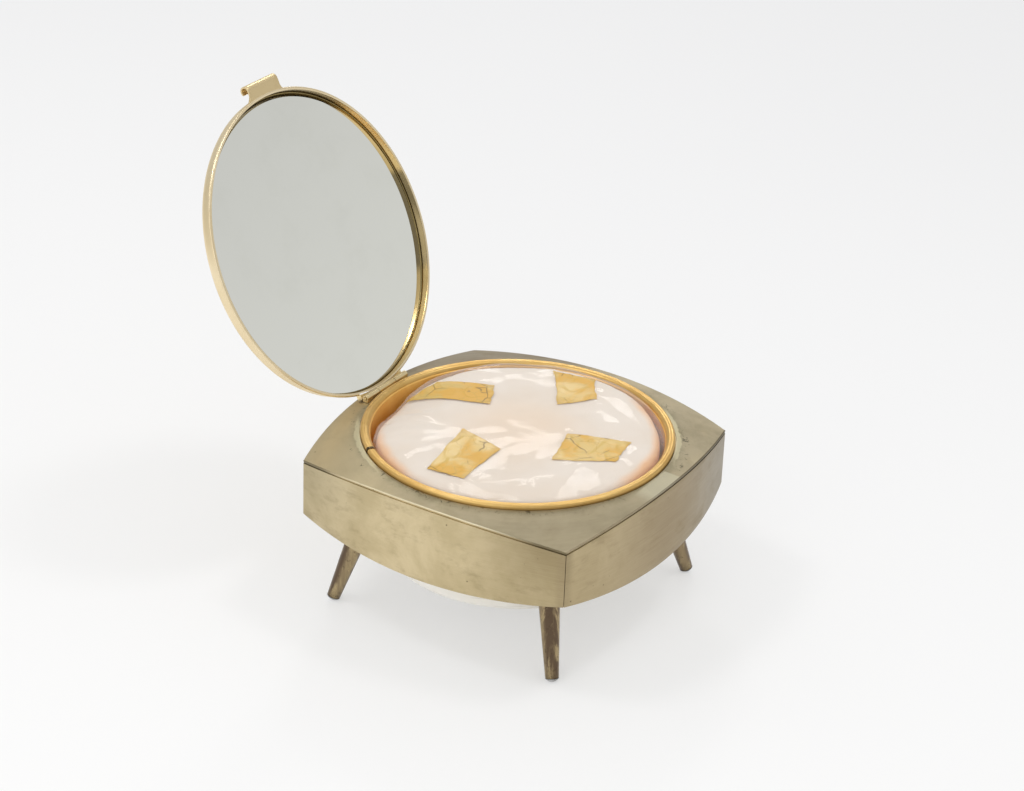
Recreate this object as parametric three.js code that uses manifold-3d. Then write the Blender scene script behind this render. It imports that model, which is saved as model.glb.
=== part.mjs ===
// Musical powder box: a brass case on four splayed legs, a gilt bowl with a wrapped puff,
// a hinged lid with a mirror, and a wind-up comb movement under the bowl.
// Millimetres, +Z up. The origin is on the floor, under the middle of the bowl.
// The hinge is at +Y and the thumb tab at -Y. The lid stands open at rest.

import * as THREE from 'three';
import { mergeVertices } from 'three/addons/utils/BufferGeometryUtils.js';
import Module from 'manifold-3d';

const wasm = await Module();
wasm.setup();

// Sizes used all over
const sheet = 0.8; // brass sheet of the case and pan
const seam = 0.15; // dark joint between two soldered sheets
const seat = 0.1; // between a piece and what it rests on
const lidSeat = 0.3; // the same inside the opened lid
const bearing = 0.1; // round a turning shaft
const overrun = 2; // how far a cutter passes the piece it cuts

// Bowl and its ring set the width of the case
const bezelRadius = 44.8;
const bezelWidth = 2.6;
const bezelHeight = 1.9;
const bezelJoint = 0.5; // the open joint of the split ring
const bezelJointAngle = THREE.MathUtils.degToRad(137);
const bezelSkirt = 0.6; // outer lip of the ring, which reaches down past the bowl's flange
const wellSheet = 0.5;
const wellFlange = 1.7;
const wellDepth = 10.7;
const wellCorner = 1.8;

// Case
const sideMargin = 5.17; // ring to the middle of a side
const sideBulge = 6.42; // how far a side bows out past its corners
const caseApexZ = 55.03; // top of the dome, if the bowl weren't cut out of it
const domeRadius = 210.5;
const ledgeMargin = 0.25; // gap round the ring where it is let into the dome
const ledgeDepth = 0.52;
const skirtRadius = 187; // curve of the case's lower edge
const skirtLowZ = 18.9;
const basePlateRise = 3.7; // base plate above the lowest point of the lower edge
const basePlateSheet = 1;
const sideSteps = 12;

// Pan under the case
const panInset = 7.2; // pan wall inside the ring's outer edge
const panFloorZ = 13.6;
const panRound = 4;
const panFlange = 2;
const panClearance = 0.3;

// Legs
const legMargin = 3.04; // leg's top outside the pan's flange
const splay = 0.25; // how far a leg leans in along x and along y, per unit of height
const legFootRadius = 1.93;
const legTopRadius = 3.45;
const glideRadius = 1.75;
const glideDome = 2.4;
const glideFlat = 0.12; // worn flat where the dome meets the floor
const glideDisc = 0.2;
const nailRadius = 0.6;
const nailLength = 4;
const nailHole = 0.25;
const legScrewRadius = 1;
const legScrewLength = 5.6;
const legScrewHead = 1.6;
const screwHeadHeight = 0.9;
const screwSlot = 0.4;
const screwClearance = 0.15;

// Hinge
const barrelRadius = 1;
const barrelRun = 0.2; // clearance of the barrel to the ring and to the ledge
const barrelLength = 20.2;
const lidKnuckleLength = 8;
const knuckleGap = 0.15;
const pinRadius = 0.5;
const pinHeadLength = 0.25;
const knuckleFootWidth = 1.6;
const leafSheet = 0.4;
const openAngle = THREE.MathUtils.degToRad(117.6);
const hingeRoom = 0.5; // recess in the dome past each end of the barrel
const stopGap = 0.13; // between the open leaf and the case, where it comes to rest

// Lid
const lidSheet = 0.6;
const rimBead = 0.5; // how far the rolled edge stands out
const rimBeadHeight = 0.9;
const rimGap = 0.1; // closed rim above the hinge barrel
const lidShoulder = 2.2;
const lidWall = 2.5;
const lidCrown = 8.2;
const retainerWidth = 1.5;
const retainerDepth = 2.1;
const retainerSheet = 0.5;
const mirrorGlass = 1;
const mirrorInset = 1.4; // mirror edge inside the lid wall
const backingInset = 11.5; // card's edge inside the mirror's
const backingCard = 0.6;
const tabWidth = 13.2;
const tabReach = 3.5;
const tabSheet = 0.5;
const tabCurl = 1.3;
const tabCurlAngle = THREE.MathUtils.degToRad(205);

// Puff and its wrap
const puffClearance = 1; // puff to the bowl's wall
const puffThickness = 10.4;
const puffCrown = 1.3;
const puffRound = 2.4;
const film = 0.25;
const filmGap = 0.3;
const tapeWidth = 12.7;
const tapeFilm = 0.2;
const tapes = [
  // middle and length as shares of the puff's radius, and the way each strip runs
  { name: 'tape_back', xShare: 0.168, yShare: 0.623, lengthShare: 0.500, degrees: -52.5 },
  { name: 'tape_right', xShare: 0.641, yShare: -0.063, lengthShare: 0.451, degrees: 32 },
  { name: 'tape_left', xShare: -0.561, yShare: 0.068, lengthShare: 0.573, degrees: 5.5 },
  { name: 'tape_front', xShare: 0.024, yShare: -0.592, lengthShare: 0.451, degrees: -58 },
];

// Movement
const movementX = 5; // the cylinder's axis runs along Y here
const bedThickness = 2;
const bedMargin = 1.2;
const springBarrelRadius = 12;
const springBarrelHeight = 7.8;
const springBarrelRun = 0.5; // over the bedplate, and beside the bearing bracket
const crownTeeth = 24;
const crownToothHeight = 1.2;
const crownWidth = 3;
const arborRadius = 1.6;
const pinionTeeth = 8;
const pinionLength = 3;
const bracketSheet = 1.2;
const bracketHalfWidth = 4;
const bracketOverhang = 2.2; // bracket past the bearings that it carries
const cylinderRadius = 6.3;
const cylinderLength = 19.4;
const cylinderRun = 0.7; // cylinder and wheel to the brackets
const cylinderArborRadius = 0.6;
const pinHeight = 0.45;
const pinBase = 0.25;
const tracks = 18;
const pinsPerTrack = 2;
const wheelTeeth = 32;
const wheelThickness = 1.2;
const wheelPitchRadius = 6.08;
const toothTop = 0.33;
const toothRoot = 0.45;
const governorAngle = THREE.MathUtils.degToRad(-50); // governor arbor seen from the cylinder
const governorArborRadius = 0.5;
const wormWheelTeeth = 20;
const wormWheelRadius = 2.6;
const wormWheelThickness = 1;
const wormRadius = 1;
const wormGap = 0.15;
const wormPivot = 0.3;
const wormHubRadius = 0.8;
const flyRadius = 2.3;
const flyHeight = 2.4;
const flySheet = 0.3;
const flyRun = 0.5;
const governorFrameArm = 1;
const governorFrameWidth = 2.4;
const governorFrameReach = 3.4;
const combTeethLength = 9;
const combBase = 8;
const combSheet = 0.8;
const combTipGap = 0.3;
const combSlot = 0.3;
const combPadMargin = 0.5;
const combScrewRadius = 0.9;
const combScrewHead = 1.6;
const combScrewLength = 4;
const movementScrewRadius = 1;
const movementScrewHead = 2;
const movementScrewReach = 4.3; // screw centres inside the corners of the bedplate
const springSheet = 0.35;
const springTurns = 3;
const springGap = 0.35;
const keyWingSpan = 20;
const keyWingHeight = 6;
const keySheet = 1.4;
const keyHubRadius = 2.6;
const keyHubLength = 7;
const keyDrop = 1; // hub below the pan
const keyBore = 3.5;

// Start rod and brake
const rodRadius = 0.5;
const rodClearance = 0.25;
const rodMargin = 1.7; // rod centre inside the middle of the back side
const leverSheet = 1.2;
const leverWidth = 1.4;
const leverArm = 5.7; // pivot to rod
const leverPivotRise = 3.6; // pivot above the base plate
const leverHub = 1.3;
const leverPinRadius = 0.45;
const leverTip = 0.6; // lever past the rod
const leverSwing = THREE.MathUtils.degToRad(11.06);
const cheekSheet = 0.8;
const cheekGap = 0.2;
const cheekRise = 1.4;
const bracketFoot = 2.4;
const brakeGap = 0.3;

// What follows from them
const quarter = Math.PI / 2;
const wholeTurn = 2 * Math.PI;
const midSide = bezelRadius + sideMargin;
const halfSide = midSide - sideBulge;
const sideRadius = (halfSide ** 2 + sideBulge ** 2) / (2 * sideBulge);
const innerShare = 1 - sheet / midSide; // inside of the walls, as a share of the outside
const ledgeRadius = bezelRadius + ledgeMargin;
const ledgeZ = domeZ(ledgeRadius) - ledgeDepth;
const bezelInner = bezelRadius - bezelWidth;
const wellInner = bezelInner - 2 * seat;
const wellOuter = wellInner + wellSheet;
const wellHole = wellOuter + 2 * seat;
const puffRadius = wellInner - puffClearance;
const panRadius = bezelRadius - panInset;
const flangeZ = ledgeZ + seat;
const flangeTopZ = flangeZ + wellSheet;
const wellFloorZ = flangeTopZ - wellDepth;
const basePlateZ = skirtZ(midSide) + basePlateRise;
const basePlateTop = basePlateZ + basePlateSheet;
const glideCentreZ = glideDome - glideFlat;
const legLean = (basePlateZ - glideCentreZ) * splay;
const legTopReach = (panRadius + panFlange + legMargin) / Math.SQRT2;
const footReach = legTopReach + legLean;
const hingeY = bezelRadius + barrelRadius + barrelRun;
const hingeZ = ledgeZ + barrelRadius + barrelRun;
const wallRadius = hingeY - leafSheet - lidSeat;
const rimZ = hingeZ + barrelRadius + rimGap;
const leafReach = openLeafReach();
const mirrorRadius = wallRadius - lidSheet - mirrorInset;
const puffFloorZ = wellFloorZ + filmGap;
const puffRimZ = puffFloorZ + puffThickness;

const panTopZ = panFloorZ + sheet;
const bedZ = panTopZ + seat;
const bedTop = bedZ + bedThickness;
const springBarrelZ = bedTop + springBarrelRun;
const springBarrelTop = springBarrelZ + springBarrelHeight;
const crownPitchRadius = springBarrelRadius - crownWidth / 2;
const pinionPitchRadius = crownPitchRadius * pinionTeeth / crownTeeth;
const cylinderZ = springBarrelTop + crownToothHeight / 2 + pinionPitchRadius;
const innerBracketY = springBarrelRun;
const springBarrelY = -springBarrelRadius;
const cylinderY = innerBracketY + bracketSheet + cylinderRun;
const wheelY = cylinderY + cylinderLength + cylinderRun;
const outerBracketY = wheelY + wheelThickness + cylinderRun;
const outerBracketEnd = outerBracketY + bracketSheet;
const governorPitchRadius = wheelPitchRadius * pinionTeeth / wheelTeeth;
const governorReach = wheelPitchRadius + governorPitchRadius;
const governorX = movementX + governorReach * Math.cos(governorAngle);
const governorZ = cylinderZ + governorReach * Math.sin(governorAngle);
const wormX = governorX - wormWheelRadius - wormRadius - wormGap;
const wormY = outerBracketEnd + flyRun + flyRadius + flyRun;
const rodX = wormX;
const rodY = midSide - rodMargin;
const leverY = rodY - leverArm;
const leverZ = basePlateTop + leverPivotRise;
const brakeY = wormY + flyRadius / 2;
const brakeDrop = (leverY - brakeY) * Math.sin(leverSwing);
const flyTopZ = leverZ - leverSheet / 2 - brakeDrop - brakeGap;
const flyBaseZ = flyTopZ - flyHeight;
const combX = movementX - cylinderRadius - pinHeight - combTipGap;
const combZ = cylinderZ - combSheet / 2;

// Materials, with colours as the photo shows them
const brass = finish(0xb7a67e, 0.45, 0.85);
const greyBrass = finish(0xa39b80, 0.5, 0.8);
const gilt = finish(0xd9a94c, 0.25, 0.95);
const darkBronze = finish(0x6f6049, 0.55, 0.7);
const steel = finish(0xa9adb0, 0.35, 0.9);
const paleEnamel = finish(0xdcdad3, 0.5, 0.1);
const mirrorSilver = finish(0xc8c9c4, 0.05, 1);
const card = finish(0x9b8b6e, 0.9, 0);
const puffPink = finish(0xeadfd4, 0.95, 0);
const clearFilm = finish(0xf3eee8, 0.15, 0);
const amberTape = finish(0xe3bb62, 0.35, 0);

const box = new THREE.Group();
const lid = new THREE.Group();

function finish(color, roughness, metalness) {
  return new THREE.MeshStandardMaterial({ color, roughness, metalness });
}

function domeZ(radius) {
  return caseApexZ - radius ** 2 / (2 * domeRadius);
}

function skirtZ(radius) {
  return skirtLowZ + radius ** 2 / (2 * skirtRadius);
}

// Length of the lid leaf at which its edge rests on the dome when the lid is open
function openLeafReach() {
  const sine = Math.sin(openAngle);
  const cosine = -Math.cos(openAngle);
  const a = sine ** 2 / (2 * domeRadius);
  const b = hingeY * sine / domeRadius - cosine;
  const c = hingeY ** 2 / (2 * domeRadius) + hingeZ - caseApexZ - stopGap;
  return (-b - Math.sqrt(b ** 2 - 4 * a * c)) / (2 * a);
}

// Shape helpers

// Corners merged, empty triangles dropped and faces turned out
function closed(geometry) {
  const bare = geometry.clone();
  bare.deleteAttribute('normal');
  bare.deleteAttribute('uv');
  const merged = mergeVertices(bare);
  const point = merged.attributes.position;
  const [a, b, c] = [new THREE.Vector3(), new THREE.Vector3(), new THREE.Vector3()];
  const faces = [];
  let volume = 0;
  for (let i = 0; i < merged.index.count; i += 3) {
    const face = [0, 1, 2].map((k) => merged.index.getX(i + k));
    if (new Set(face).size < 3) continue;
    a.fromBufferAttribute(point, face[0]);
    b.fromBufferAttribute(point, face[1]);
    c.fromBufferAttribute(point, face[2]);
    volume += a.dot(b.cross(c));
    faces.push(face);
  }
  merged.setIndex(faces.flatMap((face) => (volume < 0 ? [face[0], face[2], face[1]] : face)));
  merged.computeVertexNormals();
  return merged;
}

function solidOf(geometry) {
  const body = closed(geometry);
  const vertProperties = new Float32Array(body.attributes.position.array);
  const triVerts = new Uint32Array(body.index.array);
  return new wasm.Manifold(new wasm.Mesh({ numProp: 3, vertProperties, triVerts }));
}

function geometryOf(solid) {
  const mesh = solid.getMesh();
  const geometry = new THREE.BufferGeometry();
  geometry.setAttribute('position', new THREE.BufferAttribute(mesh.vertProperties, 3));
  geometry.setIndex(new THREE.BufferAttribute(mesh.triVerts, 1));
  geometry.computeVertexNormals();
  return geometry;
}

function join(first, ...others) {
  let solid = solidOf(first);
  for (const other of others) solid = solid.add(solidOf(other));
  return geometryOf(solid);
}

function cut(body, ...tools) {
  let solid = solidOf(body);
  for (const tool of tools) solid = solid.subtract(solidOf(tool));
  return geometryOf(solid);
}

function common(first, second) {
  return geometryOf(solidOf(first).intersect(solidOf(second)));
}

// A body through a row of closed loops, whose ends meet or are capped
function loopBody(loops, endsMeet) {
  const count = loops[0].length;
  const rows = endsMeet ? loops.length : loops.length - 1;
  const last = (loops.length - 1) * count;
  const faces = [];
  for (let row = 0; row < rows; row++) {
    const here = row * count;
    const next = (row + 1) % loops.length * count;
    for (let i = 0; i < count; i++) {
      const j = (i + 1) % count;
      faces.push(here + i, here + j, next + j);
      faces.push(here + i, next + j, next + i);
    }
  }
  for (let i = 1; i < count - 1 && !endsMeet; i++) {
    faces.push(0, i + 1, i);
    faces.push(last, last + i, last + i + 1);
  }
  const geometry = new THREE.BufferGeometry();
  geometry.setAttribute('position', new THREE.Float32BufferAttribute(loops.flat(2), 3));
  geometry.setIndex(faces);
  return closed(geometry);
}

// A turned body: its profile is a list of [radius, z] that starts and ends on the axis
function turned(profile, sides) {
  const points = profile.map(([radius, z]) => new THREE.Vector2(radius, z));
  return new THREE.LatheGeometry(points, sides).rotateX(quarter);
}

// A turned ring: its profile closes on itself
function turnedRing(profile, sides) {
  return turned([...profile, profile[0]], sides);
}

function arc(radius, z, size, from, to, steps) {
  const points = [];
  for (let step = 0; step <= steps; step++) {
    const angle = from + (to - from) * step / steps;
    points.push([radius + size * Math.cos(angle), z + size * Math.sin(angle)]);
  }
  return points;
}

function block(x0, x1, y0, y1, z0, z1) {
  const geometry = new THREE.BoxGeometry(x1 - x0, y1 - y0, z1 - z0);
  return geometry.translate((x0 + x1) / 2, (y0 + y1) / 2, (z0 + z1) / 2);
}

// Round bars along each axis
function barZ(radius, x, y, z0, z1, sides = 16) {
  const geometry = new THREE.CylinderGeometry(radius, radius, z1 - z0, sides);
  return geometry.rotateX(quarter).translate(x, y, (z0 + z1) / 2);
}

function barY(radius, x, z, y0, y1, sides = 16) {
  return new THREE.CylinderGeometry(radius, radius, y1 - y0, sides).translate(x, (y0 + y1) / 2, z);
}

function barX(radius, y, z, x0, x1, sides = 16) {
  const geometry = new THREE.CylinderGeometry(radius, radius, x1 - x0, sides);
  return geometry.rotateZ(quarter).translate((x0 + x1) / 2, y, z);
}

function prism(points, depth) {
  const shape = new THREE.Shape(points.map(([x, y]) => new THREE.Vector2(x, y)));
  return new THREE.ExtrudeGeometry(shape, { depth, bevelEnabled: false });
}

function gearPoints(teeth, rootRadius, tipRadius, rootShare, tipShare) {
  const points = [];
  for (let tooth = 0; tooth < teeth; tooth++) {
    const corners = [
      [rootRadius, -rootShare],
      [tipRadius, -tipShare],
      [tipRadius, tipShare],
      [rootRadius, rootShare],
    ];
    for (const [radius, share] of corners) {
      const angle = wholeTurn * (tooth + share / 2) / teeth;
      points.push([radius * Math.cos(angle), radius * Math.sin(angle)]);
    }
  }
  return points;
}

// A gear whose axis is along Y; turn sets where its first tooth points
function gearAlongY(points, turn, x, z, y0, y1) {
  return prism(points, y1 - y0).rotateZ(turn).rotateX(-quarter).translate(x, y0, z);
}

function addPiece(group, name, geometry, material) {
  const mesh = new THREE.Mesh(closed(geometry), material);
  mesh.name = name;
  group.add(mesh);
  return mesh;
}

// Case

// A point of the case's outline: side 0 is the front, share runs from -1 to 1 along it
function sidePoint(side, share) {
  const x = share * halfSide;
  const y = -(midSide - sideRadius + Math.sqrt(sideRadius ** 2 - x ** 2));
  const angle = side * quarter;
  return [x * Math.cos(angle) - y * Math.sin(angle), x * Math.sin(angle) + y * Math.cos(angle)];
}

function aroundCase(pointAt) {
  const loop = [];
  for (let side = 0; side < 4; side++) {
    for (let step = 0; step < sideSteps; step++) loop.push(pointAt(side, step / sideSteps));
  }
  return loop;
}

// From the circle of this radius (share 0) to the outline (share 1), at the height of zAt
function caseLoop(circleRadius, outlineShare, zAt, scaleShare = 1) {
  return aroundCase((side, share) => {
    const angle = (side + share) * quarter - 3 * Math.PI / 4;
    const [edgeX, edgeY] = sidePoint(side, 2 * share - 1);
    const x = THREE.MathUtils.lerp(circleRadius * Math.cos(angle), edgeX * scaleShare, outlineShare);
    const y = THREE.MathUtils.lerp(circleRadius * Math.sin(angle), edgeY * scaleShare, outlineShare);
    return [x, y, zAt(Math.hypot(x, y))];
  });
}

function topPlate() {
  const onLedge = () => ledgeZ;
  const outer = [1 / 3, 2 / 3, 1].map((share) => caseLoop(ledgeRadius, share, domeZ));
  const upper = [
    caseLoop(wellHole, 0, onLedge),
    caseLoop(ledgeRadius, 0, onLedge),
    caseLoop(ledgeRadius, 0, domeZ),
    ...outer,
  ];
  const under = [caseLoop(wellHole, 0, onLedge), caseLoop(ledgeRadius + sheet, 0, onLedge), ...outer];
  const lower = under.map((loop) => loop.map(([x, y, z]) => [x, y, z - sheet]));
  const plate = loopBody([...upper, ...lower.reverse()], true);
  const rodHole = barZ(rodRadius + rodClearance, rodX, rodY, ledgeZ - overrun, caseApexZ);
  const half = barrelLength / 2 + hingeRoom;
  return cut(plate, rodHole, block(-half, half, 0, midSide, ledgeZ, caseApexZ));
}

function sideWall(side) {
  const mitreShare = 1 - seam / halfSide;
  const sections = [];
  for (let step = 0; step <= sideSteps; step++) {
    const [x, y] = sidePoint(side, mitreShare * (2 * step / sideSteps - 1));
    const radius = Math.hypot(x, y);
    const inner = radius * innerShare;
    sections.push([
      [x, y, skirtZ(radius)],
      [x, y, domeZ(radius) - sheet - seam],
      [x * innerShare, y * innerShare, domeZ(inner) - sheet - seam],
      [x * innerShare, y * innerShare, skirtZ(inner)],
    ]);
  }
  return loopBody(sections, false);
}

function basePlate() {
  const hole = panRadius + panClearance;
  const share = innerShare - seam / midSide;
  const loops = [
    caseLoop(hole, 0, () => basePlateZ),
    caseLoop(hole, 1, () => basePlateZ, share),
    caseLoop(hole, 1, () => basePlateTop, share),
    caseLoop(hole, 0, () => basePlateTop),
  ];
  const holes = legSpots().map(({ topX, topY }) => (
    barZ(legScrewRadius + screwClearance, topX, topY, basePlateZ - overrun, basePlateTop + overrun)));
  return cut(loopBody(loops, true), ...holes);
}

function basePan() {
  const flangeZ0 = basePlateTop + seat;
  const corner = panFloorZ + panRound;
  const inner = panRound - sheet;
  const profile = [
    [0, panFloorZ],
    ...arc(panRadius - panRound, corner, panRound, -quarter, 0, 3),
    [panRadius, flangeZ0],
    [panRadius + panFlange, flangeZ0],
    [panRadius + panFlange, flangeZ0 + sheet],
    [panRadius - sheet, flangeZ0 + sheet],
    ...arc(panRadius - panRound, corner, inner, 0, -quarter, 3),
    [0, panTopZ],
  ];
  const holes = movementScrewSpots().map(([x, y]) => (
    barZ(movementScrewRadius + screwClearance, x, y, panFloorZ - overrun, panTopZ + overrun)));
  const keyHole = barZ(arborRadius + rodClearance, movementX, springBarrelY,
    panFloorZ - overrun, panTopZ + overrun);
  return cut(turned(profile, 44), keyHole, ...holes);
}

// Bowl

function powderWell() {
  const under = wellFloorZ - wellSheet;
  return turned([
    [0, under],
    [wellOuter - wellCorner, under],
    [wellOuter, under + wellCorner],
    [wellOuter, flangeZ],
    [wellInner + wellFlange, flangeZ],
    [wellInner + wellFlange, flangeTopZ],
    [wellInner, flangeTopZ],
    [wellInner, wellFloorZ + wellCorner],
    [wellInner - wellCorner, wellFloorZ],
    [0, wellFloorZ],
  ], 56);
}

function bezelRing() {
  const top = ledgeZ + bezelHeight;
  const under = flangeTopZ + seat;
  const middle = bezelRadius - bezelWidth / 2;
  const rise = top - under - bezelHeight / 4;
  const crown = arc(0, 0, 1, 0, Math.PI, 6).map(([across, up]) => (
    [middle + across * bezelWidth / 2, top - rise + up * rise]));
  const ring = turnedRing([
    [bezelRadius, flangeZ],
    ...crown,
    [bezelInner, under],
    [bezelRadius - bezelSkirt, under],
    [bezelRadius - bezelSkirt, flangeZ],
  ], 60);
  const joint = block(0, bezelRadius + overrun, -bezelJoint / 2, bezelJoint / 2,
    ledgeZ - overrun, top + overrun);
  return cut(ring, joint.rotateZ(bezelJointAngle));
}

// Puff, wrap and tape

function puffTopZ(radius) {
  return puffRimZ + puffCrown * (1 - (radius / puffRadius) ** 2);
}

function puffProfile(grow, footZ) {
  const centre = puffRadius - puffRound;
  const shoulderZ = puffTopZ(centre) - puffRound;
  const crownShares = [0.65, 0.3, 0];
  return [
    [puffRadius + grow, footZ],
    ...arc(centre, shoulderZ, puffRound + grow, 0, quarter, 3),
    ...crownShares.map((share) => [centre * share, puffTopZ(centre * share) + grow]),
  ];
}

function puff() {
  const foot = [[0, puffFloorZ], [puffRadius - wellCorner, puffFloorZ]];
  return turned([...foot, ...puffProfile(0, puffFloorZ + wellCorner)], 36);
}

function puffWrap() {
  const foot = wellFloorZ + wellCorner;
  const outside = puffProfile(filmGap + film, foot);
  const inside = puffProfile(filmGap, foot);
  return turned([...inside.reverse(), ...outside], 36);
}

function tapePiece({ xShare, yShare, lengthShare, degrees }) {
  const [x, y, length] = [xShare, yShare, lengthShare].map((share) => share * puffRadius);
  const angle = THREE.MathUtils.degToRad(degrees);
  const steps = 5;
  const under = filmGap + film + filmGap;
  const sections = [];
  for (let step = 0; step <= steps; step++) {
    const along = length * (step / steps - 1 / 2);
    const edges = [-tapeWidth / 2, tapeWidth / 2].map((across) => {
      const px = x + along * Math.cos(angle) - across * Math.sin(angle);
      const py = y + along * Math.sin(angle) + across * Math.cos(angle);
      return [px, py, puffTopZ(Math.hypot(px, py)) + under];
    });
    const [left, right] = edges;
    const raised = ([px, py, pz]) => [px, py, pz + tapeFilm];
    sections.push([left, raised(left), raised(right), right]);
  }
  return loopBody(sections, false);
}

// Legs

function legSpots() {
  const spots = [
    ['front_left', -1, -1],
    ['front_right', 1, -1],
    ['back_right', 1, 1],
    ['back_left', -1, 1],
  ];
  return spots.map(([name, sideX, sideY]) => {
    const axis = new THREE.Vector3(-sideX * splay, -sideY * splay, 1).normalize();
    const turn = new THREE.Quaternion().setFromUnitVectors(new THREE.Vector3(0, 0, 1), axis);
    const place = new THREE.Matrix4().makeRotationFromQuaternion(turn);
    place.setPosition(sideX * footReach, sideY * footReach, glideCentreZ);
    return { name, place, axis, topX: sideX * legTopReach, topY: sideY * legTopReach };
  });
}

// Where the glide's dome ends, along the leg from the middle of the dome
const domeEnd = -Math.sqrt(glideDome ** 2 - glideRadius ** 2);
const legEnd = domeEnd + glideDisc + seat;

function leg(spot) {
  const topZ = basePlateZ - seat;
  const length = (topZ - glideCentreZ) / spot.axis.z;
  const slope = (legTopRadius - legFootRadius) / (length - legEnd);
  const past = length + legTopRadius + overrun;
  const body = turned([
    [0, legEnd],
    [legFootRadius, legEnd],
    [legFootRadius + slope * (past - legEnd), past],
    [0, past],
  ], 20).applyMatrix4(spot.place);
  const above = block(-midSide, midSide, -midSide, midSide, topZ, caseApexZ + overrun);
  const nail = barZ(nailRadius + nailHole, 0, 0, legEnd - overrun, legEnd + nailLength + nailHole, 10);
  const screw = barZ(legScrewRadius + screwClearance, spot.topX, spot.topY,
    basePlateTop - legScrewLength - seat, topZ + overrun, 12);
  return cut(body, above, nail.applyMatrix4(spot.place), screw);
}

function glide(spot) {
  const from = Math.asin(-1);
  const to = Math.atan2(domeEnd, glideRadius);
  const discTop = domeEnd + glideDisc;
  const body = turned([
    ...arc(0, 0, glideDome, from, to, 4),
    [glideRadius, discTop],
    [nailRadius, discTop],
    [nailRadius, discTop + nailLength],
    [0, discTop + nailLength],
  ], 14).applyMatrix4(spot.place);
  return cut(body, block(-midSide, midSide, -midSide, midSide, -overrun, 0));
}

function screwBody(shank, head, length, x, y, headZ, direction) {
  const z0 = headZ;
  const z1 = headZ + direction * screwHeadHeight;
  const z2 = headZ - direction * length;
  const slotZ = z1 - direction * screwHeadHeight / 2;
  const low = Math.min(slotZ, z1 + direction * overrun);
  const high = Math.max(slotZ, z1 + direction * overrun);
  const slot = block(x - head - overrun, x + head + overrun, y - screwSlot / 2, y + screwSlot / 2,
    low, high);
  const solid = join(
    barZ(head, x, y, Math.min(z0, z1), Math.max(z0, z1), 12),
    barZ(shank, x, y, Math.min(z0, z2), Math.max(z0, z2), 8));
  return cut(solid, slot);
}

function legScrew({ topX, topY }) {
  return screwBody(legScrewRadius, legScrewHead, legScrewLength, topX, topY, basePlateTop + seat, 1);
}

// Hinge

function caseKnuckle(side) {
  const from = lidKnuckleLength / 2 + knuckleGap;
  const to = barrelLength / 2;
  const [x0, x1] = side < 0 ? [-to, -from] : [from, to];
  const foot = block(x0, x1, hingeY - knuckleFootWidth / 2, hingeY + knuckleFootWidth / 2,
    ledgeZ + seat, hingeZ - barrelRadius / 2);
  const bore = barX(pinRadius + bearing, hingeY, hingeZ, x0 - overrun, x1 + overrun);
  return cut(join(barX(barrelRadius, hingeY, hingeZ, x0, x1), foot), bore);
}

function hingePin() {
  const half = barrelLength / 2 + pinHeadLength;
  return barX(pinRadius, hingeY, hingeZ, -half, half);
}

function lidLeaf() {
  const half = barrelLength / 2;
  const knuckle = lidKnuckleLength / 2;
  const inside = wallRadius - sideBulge;
  const plate = block(-half, half, inside, hingeY, rimZ + rimGap, hingeZ + leafReach);
  const neck = block(-knuckle, knuckle, inside, hingeY, hingeZ + barrelRadius / 2, rimZ + 2 * rimGap);
  const lidBody = barZ(wallRadius + lidSeat, 0, 0, ledgeZ, rimZ + lidCrown, 96);
  const bezel = barZ(hingeY - leafSheet, 0, 0, ledgeZ, rimZ + lidCrown, 96);
  const tube = barX(barrelRadius, hingeY, hingeZ, -knuckle, knuckle);
  const bore = barX(pinRadius + bearing, hingeY, hingeZ, -half, half);
  return cut(join(cut(join(plate, neck), lidBody, bezel), tube), bore);
}

// Lid, drawn shut and then turned open on its hinge

function lidShell() {
  const inner = wallRadius - lidSheet;
  const centre = wallRadius - lidShoulder;
  const beadTop = rimZ + rimBeadHeight;
  const shoulderZ = rimZ + lidWall;
  const shoulderEnd = THREE.MathUtils.degToRad(70);
  const shell = turned([
    [0, rimZ + lidCrown - lidSheet],
    ...arc(centre, shoulderZ, lidShoulder - lidSheet, shoulderEnd, 0, 3),
    [inner, rimZ],
    [wallRadius + rimBead, rimZ],
    [wallRadius + rimBead, beadTop],
    [wallRadius, beadTop + rimBead / 2],
    ...arc(centre, shoulderZ, lidShoulder, 0, shoulderEnd, 4),
    [0, rimZ + lidCrown],
  ], 56);
  const half = barrelLength / 2 + lidSeat;
  const bead = turnedRing([
    [wallRadius, rimZ - overrun],
    [wallRadius + overrun, rimZ - overrun],
    [wallRadius + overrun, beadTop + rimBead],
    [wallRadius, beadTop + rimBead],
  ], 56);
  const atHinge = block(-half, half, 0, hingeY + overrun, rimZ - overrun, rimZ + lidCrown);
  return cut(shell, common(bead, atHinge));
}

function mirrorRetainer() {
  const outer = wallRadius - lidSheet - lidSeat;
  const z = rimZ + retainerDepth;
  return turnedRing([
    [outer - retainerWidth, z],
    [outer, z],
    [outer, z + retainerSheet],
    [outer - retainerWidth, z + retainerSheet],
  ], 48);
}

function disc(radius, z, thickness, sides) {
  return barZ(radius, 0, 0, z, z + thickness, sides);
}

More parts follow.
